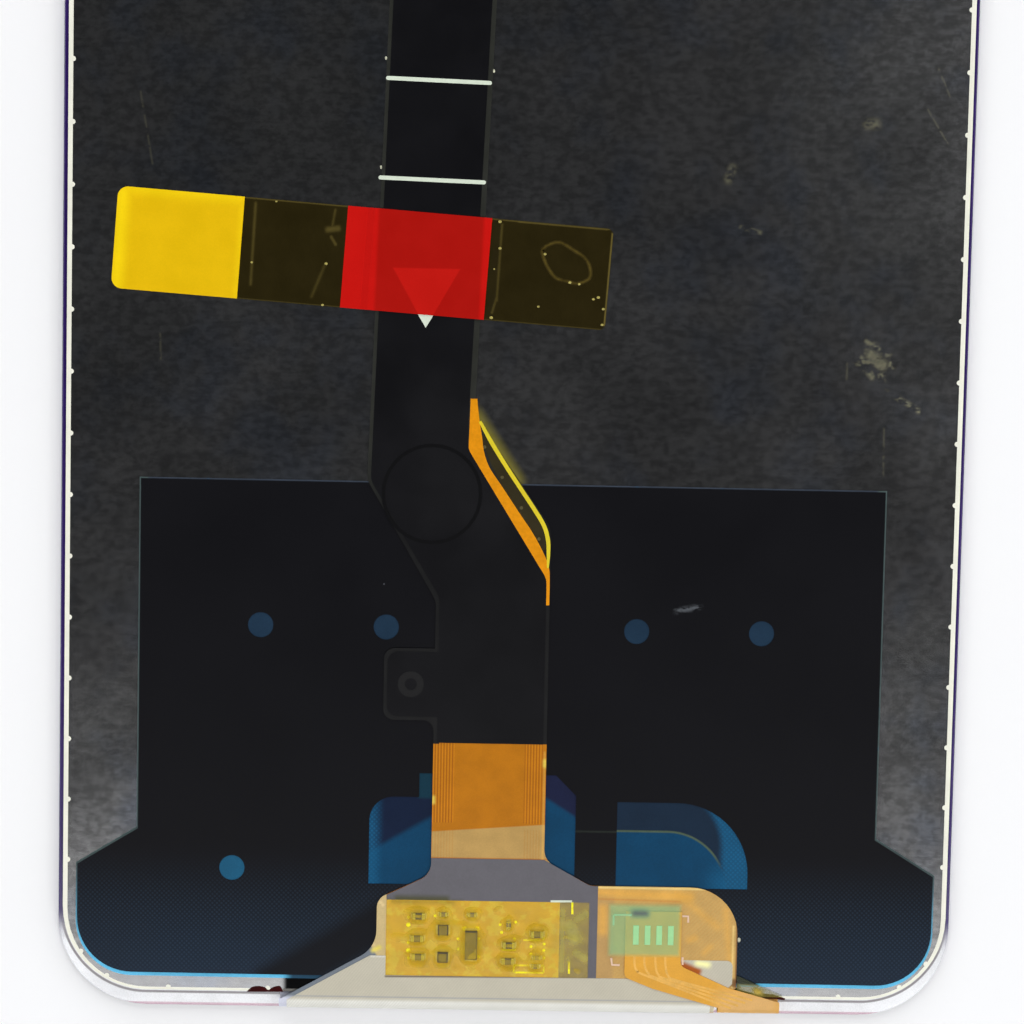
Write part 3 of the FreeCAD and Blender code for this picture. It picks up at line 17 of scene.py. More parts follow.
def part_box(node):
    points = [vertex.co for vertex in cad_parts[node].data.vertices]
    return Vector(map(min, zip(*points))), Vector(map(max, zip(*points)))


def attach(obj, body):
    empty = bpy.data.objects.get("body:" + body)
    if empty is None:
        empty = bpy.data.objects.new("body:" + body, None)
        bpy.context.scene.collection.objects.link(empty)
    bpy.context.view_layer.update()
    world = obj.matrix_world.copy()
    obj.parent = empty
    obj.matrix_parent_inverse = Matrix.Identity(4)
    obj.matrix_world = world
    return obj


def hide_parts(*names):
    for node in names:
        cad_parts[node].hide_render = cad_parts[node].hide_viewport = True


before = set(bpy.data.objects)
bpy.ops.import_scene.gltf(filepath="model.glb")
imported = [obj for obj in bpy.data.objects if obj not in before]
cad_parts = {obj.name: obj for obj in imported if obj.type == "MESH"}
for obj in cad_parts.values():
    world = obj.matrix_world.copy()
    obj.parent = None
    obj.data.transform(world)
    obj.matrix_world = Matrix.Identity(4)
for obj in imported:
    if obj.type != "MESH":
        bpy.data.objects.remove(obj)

MM = 0.001
ROUGH_SPREAD = 0.12
COAT_ROUGHNESS = 0.12
DOT_PITCH = 0.27
DOT_REACH = 0.42

log = logging.getLogger("screen_module")

Point = tuple[float, float]
Colour = tuple[float, float, float]
Socket = bpy.types.NodeSocket
Input = float | Sequence[float] | Socket


def tone(red: int, green: int, blue: int) -> Colour:
    """Gives the linear colour of three screen values.

    Args:
        red, green, blue: screen values from 0 to 255.

    Returns:
        The colour as linear shares.
    """

    def linear(level: int) -> float:
        """One screen value as a linear share."""
        share = level / 255
        return share / 12.92 if share <= 0.04045 else ((share + 0.055) / 1.055) ** 2.4

    return linear(red), linear(green), linear(blue)


@dataclass(frozen=True)
class Patch:
    """A rectangle with a soft edge on the module's face, in millimetres and degrees."""

    centre: Point
    size: Point
    soft: float = 0.03
    turn: float = 0.0
    share: float = 1.0


class Graph:
    """A node tree that is being wired, of a material or of a shared effect."""

    def __init__(self, tree: bpy.types.NodeTree) -> None:
        """Keeps the tree; the place is known once find_place has run."""
        self.tree = tree
        self.place: Socket | None = None

    def feed(self, socket: Socket, value: Input) -> None:
        """Links a socket to an input, or sets its own value.

        Args:
            socket: the input to feed.
            value: another node's output, a number, or a colour or vector.
        """
        if isinstance(value, bpy.types.NodeSocket):
            self.tree.links.new(value, socket)
        elif socket.type == "RGBA":
            socket.default_value = (*value, 1.0)
        else:
            socket.default_value = value

    def add(self, kind: str, inputs: dict[int | str, Input], **settings: object) -> bpy.types.Node:
        """Adds a node.

        Args:
            kind: the node's type.
            inputs: what feeds its inputs, by name or number.
            settings: the node's own settings.

        Returns:
            The node.
        """
        node = self.tree.nodes.new(kind)
        for name, setting in settings.items():
            setattr(node, name, setting)
        for key, value in inputs.items():
            self.feed(node.inputs[key], value)
        return node

    def find_place(self) -> None:
        """Keeps the place on the object, in millimetres, for what is wired next."""
        object_place = self.tree.nodes.new("ShaderNodeTexCoord").outputs["Object"]
        self.place = self.vector("SCALE", object_place, scale=1 / MM)

    def calc(self, operation: str, *values: Input) -> Socket:
        """Works out a number from one or two others."""
        return self.add("ShaderNodeMath", dict(enumerate(values)), operation=operation).outputs[0]

    def vector(self, operation: str, *values: Input, scale: Input | None = None) -> Socket:
        """Works out a vector, or its length, from one or two others.

        Args:
            operation: what is worked out.
            values: the vectors.
            scale: the factor, where the operation takes one.

        Returns:
            The vector, or its length.
        """
        inputs: dict[int | str, Input] = dict(enumerate(values))
        if scale is not None:
            inputs["Scale"] = scale
        node = self.add("ShaderNodeVectorMath", inputs, operation=operation)
        return node.outputs[1 if operation == "LENGTH" else 0]

    def split(self, vector: Input) -> tuple[Socket, Socket, Socket]:
        """Gives the three parts of a vector."""
        outputs = self.add("ShaderNodeSeparateXYZ", {0: vector}).outputs
        return outputs[0], outputs[1], outputs[2]

    def span(
        self, value: Input, low: Input, high: Input, start: Input = 0.0, end: Input = 1.0
    ) -> Socket:
        """Carries a value smoothly from one range to another.

        Args:
            value: the value.
            low, high: the range it comes from.
            start, end: what it becomes at each end.

        Returns:
            The carried value, held at its ends.
        """
        inputs = {0: value, 1: low, 2: high, 3: start, 4: end}
        node = self.add("ShaderNodeMapRange", inputs, interpolation_type="SMOOTHSTEP")
        return node.outputs[0]

    def paint(self, under: Input, over: Input, mask: Input) -> Socket:
        """Lays one colour over another where a mask says.

        Args:
            under: the colour below.
            over: the colour on top.
            mask: how much of the top colour shows.

        Returns:
            The painted colour.
        """
        node = self.tree.nodes.new("ShaderNodeMix")
        node.data_type = "RGBA"
        for name, value in (("Factor_Float", mask), ("A_Color", under), ("B_Color", over)):
            socket = next(item for item in node.inputs if item.identifier == name)
            self.feed(socket, value)
        return next(item for item in node.outputs if item.identifier == "Result_Color")

    def turned(self, vector: Socket, degrees: float) -> Socket:
        """Turns a vector about the module's upright axis."""
        inputs = {"Vector": vector, "Angle": math.radians(degrees)}
        return self.add("ShaderNodeVectorRotate", inputs, rotation_type="Z_AXIS").outputs[0]

    def joined(self, *masks: Input) -> Socket:
        """Gives the product of two or more masks or shares.

        Args:
            masks: what is multiplied.

        Returns:
            The product.
        """
        product = masks[0]
        for mask in masks[1:]:
            product = self.calc("MULTIPLY", product, mask)
        return product

    def effect(self, effect: Effect, *values: Input, place: Socket | None = None) -> Socket:
        """Places a shared effect.

        Args:
            effect: which one.
            values: what feeds its inputs after the place, in their order.
            place: where it is worked out, if not at the place on the object.

        Returns:
            The effect's mask or value.
        """
        node = self.tree.nodes.new("ShaderNodeGroup")
        node.node_tree = effect.group()
        for socket, value in zip(node.inputs, (self.place if place is None else place, *values)):
            self.feed(socket, value)
        return node.outputs[0]

    def beyond(self, low: Point, high: Point, radius: float) -> Socket:
        """Gives how far a place lies outside a rounded rectangle, from its opposite corners.

        Args:
            low, high: the rectangle's corners.
            radius: radius of its round corners.

        Returns:
            The distance, negative inside.
        """
        centre = ((low[0] + high[0]) / 2, (low[1] + high[1]) / 2, 0.0)
        half = ((high[0] - low[0]) / 2, (high[1] - low[1]) / 2, 0.0)
        return self.effect(Effect.ROUNDED, centre, half, radius)

    def patch(self, patch: Patch) -> Socket:
        """Masks a rectangle as strongly as it says.

        Args:
            patch: the rectangle.

        Returns:
            Its mask.
        """
        half = (patch.size[0] / 2, patch.size[1] / 2, 0.0)
        values = ((*patch.centre, 0.0), half, patch.soft, math.radians(patch.turn))
        return self.joined(self.effect(Effect.PATCH, *values), patch.share)

    def strongest(self, patches: Sequence[Patch]) -> Input:
        """Gives the strongest mask of several rectangles, or zero where there is none.

        Args:
            patches: the rectangles.

        Returns:
            The strongest of their masks.
        """
        mask: Input = 0.0
        for patch in patches:
            mask = self.calc("MAXIMUM", mask, self.patch(patch))
        return mask

    def lay(self, colour: Input, *coats: tuple[Input, Patch | Input]) -> Input:
        """Paints coats over a colour, one after the other.

        Args:
            colour: the colour under them.
            coats: each one's colour, and its rectangle or mask.

        Returns:
            The painted colour.
        """
        for tint, shape in coats:
            mask = self.patch(shape) if isinstance(shape, Patch) else shape
            colour = self.paint(colour, tint, mask)
        return colour


def wire_grain(graph: Graph, place: Socket, stretch: Socket, detail: Socket) -> Socket:
    """Cloudy noise, drawn out along each axis as the stretch says.

    Args:
        graph: the effect's graph.
        place: where it is worked out.
        stretch: size of the clouds along each axis.
        detail: levels of finer noise.

    Returns:
        The noise, about 0.5 on average.
    """
    scaled = graph.vector("DIVIDE", place, stretch)
    inputs = {"Vector": scaled, "Scale": 1.0, "Detail": detail, "Roughness": 0.55}
    return graph.add("ShaderNodeTexNoise", inputs).outputs[0]


def wire_patch(
    graph: Graph, place: Socket, centre: Socket, half: Socket, soft: Socket, turn: Socket
) -> Socket:
    """A turned rectangle with a soft edge.

    Args:
        graph: the effect's graph.
        place: where it is worked out.
        centre: the rectangle's middle.
        half: half its size.
        soft: reach of its edge to both sides.
        turn: its turn in radians.

    Returns:
        The rectangle's mask.
    """
    inputs = {"Vector": graph.vector("SUBTRACT", place, centre), "Angle": turn}
    turned = graph.add("ShaderNodeVectorRotate", inputs, rotation_type="Z_AXIS", invert=True)
    away = graph.vector("SUBTRACT", graph.vector("ABSOLUTE", turned.outputs[0]), half)
    across, along, _ = graph.split(away)
    inner = graph.calc("MULTIPLY", soft, -1.0)
    masks = [graph.span(side, inner, soft, 1.0, 0.0) for side in (across, along)]
    return graph.joined(*masks)


def wire_halftone(graph: Graph, place: Socket, pitch: Socket, reach: Socket) -> Socket:
    """Round dots on a lattice that is turned by an eighth.

    Args:
        graph: the effect's graph.
        place: where it is worked out.
        pitch: the lattice's step.
        reach: a dot's radius as a share of the step.

    Returns:
        The dots' mask.
    """
    scaled = graph.vector("SCALE", graph.turned(place, 45), scale=graph.calc("DIVIDE", 1.0, pitch))
    shares = graph.vector("SUBTRACT", graph.vector("FRACTION", scaled), (0.5, 0.5, 0.0))
    flat = graph.vector("MULTIPLY", shares, (1.0, 1.0, 0.0))
    low = graph.calc("SUBTRACT", reach, 0.2)
    return graph.span(graph.vector("LENGTH", flat), low, reach, 1.0, 0.0)


def wire_specks(
    graph: Graph, place: Socket, spacing: Socket, reach: Socket, share: Socket
) -> Socket:
    """Specks in a share of the cells of an uneven lattice.

    Args:
        graph: the effect's graph.
        place: where it is worked out.
        spacing: mean step of the lattice.
        reach: a speck's radius as a share of the step.
        share: share of cells with a speck.

    Returns:
        The specks' mask.
    """
    flat = graph.vector("MULTIPLY", place, (1.0, 1.0, 0.0))
    scaled = graph.vector("SCALE", flat, scale=graph.calc("DIVIDE", 1.0, spacing))
    cells = graph.add("ShaderNodeTexVoronoi", {"Vector": scaled, "Scale": 1.0})
    dots = graph.span(cells.outputs["Distance"], 0.0, reach, 1.0, 0.0)
    chosen = graph.calc("LESS_THAN", graph.split(cells.outputs["Color"])[0], share)
    return graph.calc("MULTIPLY", dots, chosen)


def wire_lines(graph: Graph, place: Socket, pitch: Socket, share: Socket) -> Socket:
    """Fine lines that run along the phone.

    Args:
        graph: the effect's graph.
        place: where it is worked out.
        pitch: the step between two lines.
        share: share of the step that a line takes.

    Returns:
        The lines' mask.
    """
    across = graph.calc("DIVIDE", graph.split(place)[0], pitch)
    ramp = graph.calc("PINGPONG", across, 0.5)
    half = graph.calc("DIVIDE", share, 2.0)
    return graph.span(ramp, graph.calc("SUBTRACT", half, 0.1), graph.calc("ADD", half, 0.1), 1.0, 0.0)


def wire_rounded(
    graph: Graph, place: Socket, centre: Socket, half: Socket, radius: Socket
) -> Socket:
    """Distance outside a rounded rectangle, negative inside it.

    Args:
        graph: the effect's graph.
        place: where it is worked out.
        centre: the rectangle's middle.
        half: half its size.
        radius: radius of its round corners.

    Returns:
        The distance.
    """
    away = graph.vector("ABSOLUTE", graph.vector("SUBTRACT", place, centre))
    across, along, _ = graph.split(graph.vector("SUBTRACT", away, half))
    across, along = (graph.calc("ADD", side, radius) for side in (across, along))
    outer = graph.add("ShaderNodeCombineXYZ", {
        0: graph.calc("MAXIMUM", across, 0.0), 1: graph.calc("MAXIMUM", along, 0.0)})
    outside = graph.vector("LENGTH", outer.outputs[0])
    inside = graph.calc("MINIMUM", graph.calc("MAXIMUM", across, along), 0.0)
    return graph.calc("SUBTRACT", graph.calc("ADD", outside, inside), radius)


class Effect(Enum):
    """Effects that several finishes share; each is one node group, built once.

    The value holds how it is wired, and its inputs after the place.
    """

    GRAIN = (wire_grain, (("Stretch", (1, 1, 1)), ("Detail", 3.0)))
    PATCH = (wire_patch, (
        ("Centre", (0, 0, 0)), ("Half", (1, 1, 0)), ("Soft", 0.03), ("Turn", 0.0)))
    HALFTONE = (wire_halftone, (("Pitch", 0.4), ("Reach", 0.4)))
    SPECKS = (wire_specks, (("Spacing", 2.0), ("Reach", 0.1), ("Share", 0.3)))
    LINES = (wire_lines, (("Pitch", 0.3), ("Share", 0.5)))
    ROUNDED = (wire_rounded, (("Centre", (0, 0, 0)), ("Half", (1, 1, 0)), ("Radius", 1.0)))

    def group(self) -> bpy.types.NodeTree:
        """Gives the effect's node group, built when it is first asked for.

        Returns:
            The node group.
        """
        wire, inputs = self.value
        name = self.name.lower()
        made = bpy.data.node_groups.get(name)
        if made:
            return made
        tree = bpy.data.node_groups.new(name, "ShaderNodeTree")
        for label, value in (("Place", (0, 0, 0)), *inputs):
            kind = "NodeSocketFloat" if isinstance(value, float) else "NodeSocketVector"
            socket = tree.interface.new_socket(label, in_out="INPUT", socket_type=kind)
            socket.default_value = value
        tree.interface.new_socket("Value", in_out="OUTPUT", socket_type="NodeSocketFloat")
        entry = tree.nodes.new("NodeGroupInput")
        leave = tree.nodes.new("NodeGroupOutput")
        graph = Graph(tree)
        graph.feed(leave.inputs[0], wire(graph, *entry.outputs[:len(inputs) + 1]))
        return tree


@dataclass(frozen=True)
class Finish:
    """A surface finish: its colour, gloss, and how both vary over the surface.

    Sizes are in millimetres. The tone varies in clouds, and the fine grain is a relief.
    """

    name: str
    colour: Colour
    roughness: float = 0.5
    metallic: float = 0.0
    specular: float = 0.4
    coat: float = 0.0
    alpha: float = 1.0
    cloud: float = 4.0
    cloud_share: float = 0.15
    grain: Sequence[float] = (0.12, 0.12, 0.12)
    relief: float = 0.004

    def colouring(self, graph: Graph) -> Input:
        """Gives the colour before the clouds; a finish of several colours has its own."""
        return self.colour

    def opacity(self, graph: Graph) -> Input:
        """Gives how solid the surface is."""
        return self.alpha

    def glow(self, graph: Graph) -> Input | None:
        """Gives the light that another piece throws on the surface, if any."""
        return None

    def height(self, graph: Graph, grain: Socket) -> Socket:
        """Gives the relief's height in millimetres."""
        return graph.joined(grain, self.relief)

    def material(self) -> bpy.types.Material:
        """Builds the material.

        Returns:
            A node material with this finish.
        """
        material = bpy.data.materials.new(self.name)
        material.use_nodes = True
        graph = Graph(material.node_tree)
        graph.find_place()
        clouds = graph.effect(Effect.GRAIN, (self.cloud,) * 3, 4.0)
        grain = graph.effect(Effect.GRAIN, self.grain, 3.0)
        both = graph.calc("ADD", graph.joined(clouds, 0.6), graph.joined(grain, 0.4))
        strength = graph.span(both, 0.3, 0.7, 1 - self.cloud_share, 1 + self.cloud_share)
        bump = graph.add("ShaderNodeBump", {"Height": self.height(graph, grain), "Distance": MM})
        least, most = self.roughness * (1 - ROUGH_SPREAD), self.roughness * (1 + ROUGH_SPREAD)
        inputs: dict[str, Input] = {
            "Base Color": graph.vector("SCALE", self.colouring(graph), scale=strength),
            "Roughness": graph.span(clouds, 0.25, 0.75, least, most),
            "Metallic": self.metallic,
            "Specular IOR Level": self.specular,
            "Coat Weight": self.coat,
            "Coat Roughness": COAT_ROUGHNESS,
            "Alpha": self.opacity(graph),
            "Normal": bump.outputs[0],
        }
        glow = self.glow(graph)
        if glow is not None:
            inputs |= {"Emission Color": glow, "Emission Strength": 1.0}
        shader = material.node_tree.nodes["Principled BSDF"]
        for name, value in inputs.items():
            graph.feed(shader.inputs[name], value)
        return material


@dataclass(frozen=True)
class BrushedPlate(Finish):
    """Dark brushed steel with scuffs, specks and the yellow film's light beside the cable.

    Each scuff has its centre, size, turn, and the least blotch that shows there.
    """

    scuff: Colour = tone(204, 200, 168)
    haze: Colour = tone(90, 98, 112)
    film_light: Colour = tone(112, 104, 22)
    low_strip: Point = (-79.0, -77.5)
    shade: Patch = Patch((-16.2, -80.2), (4.4, 2.0), 0.35)
    lit: Patch = Patch((-1.6, -35.2), (1.0, 7.2), 0.6, 33.5)
    thin: float = 0.2
    scuffs: Sequence[tuple[Point, Point, float, float]] = (
        ((29.6, -27.5), (2.9, 2.3), -35, 0.50),
        ((29.6, -27.3), (2.0, 0.8), -38, 0.30),
        ((29.2, -26.1), (1.5, 0.3), -30, 0.34),
        ((29.1, -28.6), (0.8, 0.4), -50, 0.36),
        ((30.4, -34.9), (0.16, 4.0), 1, 0.36),
        ((27.16, -28.3), (0.16, 1.4), 0, 0.36),
        ((18.9, -16.9), (1.9, 0.30), -14, 0.42),
        ((17.1, -12.4), (0.6, 1.6), -20, 0.42),
        ((28.6, -8.1), (1.3, 0.7), 5, 0.38),
        ((34.0, -8.2), (0.16, 3.4), 32, 0.36),
        ((34.4, -4.6), (0.16, 2.6), 24, 0.38),
        ((31.8, -30.6), (3.6, 0.4), -32, 0.50),
        ((-30.5, -9.7), (0.16, 6.0), 10, 0.38),
        ((-29.2, -27.4), (0.16, 2.2), 2, 0.36),
    )

    def colouring(self, graph: Graph) -> Socket:
        """Uneven flecks drawn out across the phone, a bluish haze, and light scuffs.

        Args:
            graph: the material's graph.

        Returns:
            The colour before the clouds.
        """
        flecks = graph.effect(Effect.GRAIN, (0.72, 0.52, 1.0), 5.0)
        drawn = graph.effect(Effect.GRAIN, (5.0, 0.16, 1.0), 2.0)
        both = graph.calc("ADD", graph.joined(flecks, 0.88), graph.joined(drawn, 0.12))
        across, along, _ = graph.split(graph.place)
        reach = graph.span(along, *self.low_strip, 0.05, 0.23)
        least, most = graph.calc("SUBTRACT", 1.03, reach), graph.calc("ADD", 1.03, reach)
        right = graph.joined(graph.span(across, 8.0, 36.0), graph.span(along, -26.0, 2.0), 0.55)
        # Brightness: fleck contrast, lighter towards the top and the upper right; the lowest strip is
        # painted brighter, a painted reflection of the bottom lamp; the shade patch is a painted shadow,
        # near black, under the flex's sloping edge.
        strength = graph.joined(
            graph.span(both, 0.34, 0.66, least, most),
            graph.span(along, -48.0, -20.0, 0.93, 1.13),
            graph.span(along, *self.low_strip, 1.16, 1.0),
            graph.span(graph.patch(self.shade), 0.0, 1.0, 1.0, 0.01),
            graph.calc("ADD", right, 1.0),
        )
        haze = graph.effect(Effect.GRAIN, (6.0, 7.0, 1.0), 3.0)
        colour = graph.paint(self.colour, self.haze, graph.span(haze, 0.45, 0.75, 0.0, 0.5))
        colour = graph.vector("SCALE", colour, scale=strength)
        blotch = graph.effect(Effect.GRAIN, (0.6, 0.45, 1.0), 4.0)
        for centre, size, turn, least in self.scuffs:
            narrow = min(size)
            share = 0.8 if narrow > self.thin else 0.35
            region = graph.patch(Patch(centre, size, min(0.35, narrow / 2), turn, share))
            worn = graph.joined(region, graph.span(blotch, least, least + 0.14))
            colour = graph.paint(colour, self.scuff, worn)
        return graph.paint(colour, self.scuff, graph.effect(Effect.SPECKS, 4.2, 0.04, 0.14))

    def glow(self, graph: Graph) -> Input:
        """The soft light that the cable's yellow edge throws on the plate."""
        return graph.lay((0.0, 0.0, 0.0), (self.film_light, self.lit))

    def height(self, graph: Graph, grain: Socket) -> Socket:
        """Brushed lines, and the plate's slight waviness."""
        wave = graph.effect(Effect.GRAIN, (16.0, 11.0, 9.0), 1.0)
        return graph.calc("ADD", graph.joined(wave, 0.010), graph.joined(grain, self.relief))


@dataclass(frozen=True)
class PrintedBlackFilm(Finish):
    """Black film that turns navy, with a fine halftone of blue dots, towards the bottom edge."""

    low_colour: Colour = tone(29, 40, 55)
    dot_colour: Colour = tone(42, 62, 80)
    thread: Colour = tone(40, 46, 40)
    dust: Colour = tone(150, 156, 164)
    shade: Patch = Patch((-14.8, -77.6), (12.6, 3.4), 0.8, 31, 0.9)
    line: Patch = Patch((7.2, -66.98), (3.8, 0.12), 0.09, 0, 0.8)
    smear: Patch = Patch((14.57, -48.20), (2.3, 0.34), 0.25, 11, 0.30)

    def colouring(self, graph: Graph) -> Input:
        """Black at the top, navy at the bottom, with dots and the shadow beside the wing.

        Args:
            graph: the material's graph.

        Returns:
            The colour before the clouds.
        """
        _, along, _ = graph.split(graph.place)
        dots = graph.effect(Effect.HALFTONE, DOT_PITCH, DOT_REACH)
        blotch = graph.effect(Effect.GRAIN, (0.6, 0.3, 1.0), 4.0)
        smear = graph.joined(graph.patch(self.smear), graph.span(blotch, 0.40, 0.60))
        specks = graph.joined(graph.effect(Effect.SPECKS, 5.4, 0.016, 0.4), 0.5)
        return graph.lay(
            self.colour,
            (self.low_colour, graph.span(along, -82.5, -68.5, 1.0, 0.0)),
            (self.dot_colour, graph.joined(dots, graph.span(along, -75.0, -68.0, 0.34, 0.0))),
            (self.colour, self.shade),
            (self.thread, self.line),
            (self.dust, graph.calc("MAXIMUM", smear, specks)),
        )


@dataclass(frozen=True)
class BlueFilm(Finish):
    """Blue film: bright along its border, and deep blue behind the black film's windows."""

    top_border: Colour = tone(58, 66, 78)
    side_border: Colour = tone(70, 84, 84)
    low_border: Colour = tone(98, 186, 226)
    window: Colour = tone(14, 62, 94)
    window_dim: Colour = tone(18, 30, 54)
    window_right_dim: Colour = tone(26, 31, 58)
    window_light: Colour = tone(24, 92, 132)
    side_shade: Colour = tone(24, 40, 58)
    hole: Colour = tone(29, 50, 70)
    low_hole: Colour = tone(30, 88, 120)
    strip: Colour = tone(18, 52, 68)
    thread: Colour = tone(88, 102, 72)

    def colouring(self, graph: Graph) -> Input:
        """Border, holes and windows, each with its own blue.

        Args:
            graph: the material's graph.

        Returns:
            The colour before the clouds.
        """
        across, along, _ = graph.split(graph.place)
        dots = graph.effect(Effect.HALFTONE, DOT_PITCH, DOT_REACH)
        border = graph.lay(
            self.top_border,
            (self.side_border, graph.span(graph.calc("ABSOLUTE", across), 29.9, 30.2)),
            (self.low_hole, graph.joined(graph.effect(Effect.SPECKS, 0.9, 0.25, 0.25), 0.5)),
            (self.low_border, graph.span(along, -78.6, -70.0, 1.0, 0.0)),
            # Painted shade: the bright border is darkened near the flex's sloping edge.
            (self.window_dim, Patch((-14.6, -79.4), (7.0, 1.6), 0.5, 0, 0.9)),
            (self.hole, Patch((0.0, -50.15), (46.0, 4.0))),
            (self.low_hole, Patch((-22.85, -70.5), (4.0, 4.0))),
        )
        return self.side_window(graph, self.wide_window(graph, border, dots), dots)

    def wide_window(self, graph: Graph, colour: Input, dots: Socket) -> Input:
        """The window under the stem: dim in its upper corners, brighter at its left edge.

        Args:
            graph: the material's graph.
            colour: the colour under it.
            dots: mask of the printed dots.

        Returns:
            The colour with the window over it.
        """
        edge = graph.patch(Patch((-11.5, -68.2), (1.5, 8.0), 0.6))
        light = graph.calc("ADD", 0.5, graph.joined(dots, 0.35))
        return graph.lay(
            colour,
            (self.window, Patch((-2.9, -66.9), (18.0, 10.5))),
            (self.window_dim, Patch((-10.01, -64.63), (10.0, 6.0), 0.3, 30.3)),
            (self.strip, Patch((-6.9, -63.2), (1.2, 2.4), 0.15)),
            (self.window_right_dim, Patch((5.53, -62.75), (7.0, 5.0), 0.2, -31.7)),
            (self.window_light, graph.joined(edge, light)),
        )

    def side_window(self, graph: Graph, colour: Input, dots: Socket) -> Input:
        """The window beside the flex: two rounded outlines with a fine bright line, and painted shade
        between them.

        Args:
            graph: the material's graph.
            colour: the colour under it.
            dots: mask of the printed dots.

        Returns:
            The colour with the window over it.
        """
        _, along, _ = graph.split(graph.place)
        inner = graph.beyond((-6.0, -86.0), (18.3, -66.9), 4.96)
        outer = graph.beyond((-6.0, -86.0), (17.85, -63.4), 4.8)
        light = graph.calc("ADD", 0.62, graph.joined(dots, 0.3))
        low = graph.patch(Patch((18.6, -71.5), (3.4, 3.4), 1.2, 0, 0.8))
        bright = graph.calc("MAXIMUM", graph.span(outer, -0.35, 0.45), low)
        line = graph.span(graph.calc("ABSOLUTE", inner), 0.03, 0.14, 1.0, 0.0)
        # The band between the two outlines is painted shade.
        fresh = graph.lay(
            self.window,
            (self.side_shade, graph.span(inner, -0.12, 0.12)),
            (self.window_light, graph.joined(bright, light)),
            (self.thread, graph.joined(line, graph.span(along, -70.2, -68.6, 0.0, 0.65))),
        )
        return graph.lay(colour, (fresh, Patch((14.6, -68.0), (12.0, 8.5))))


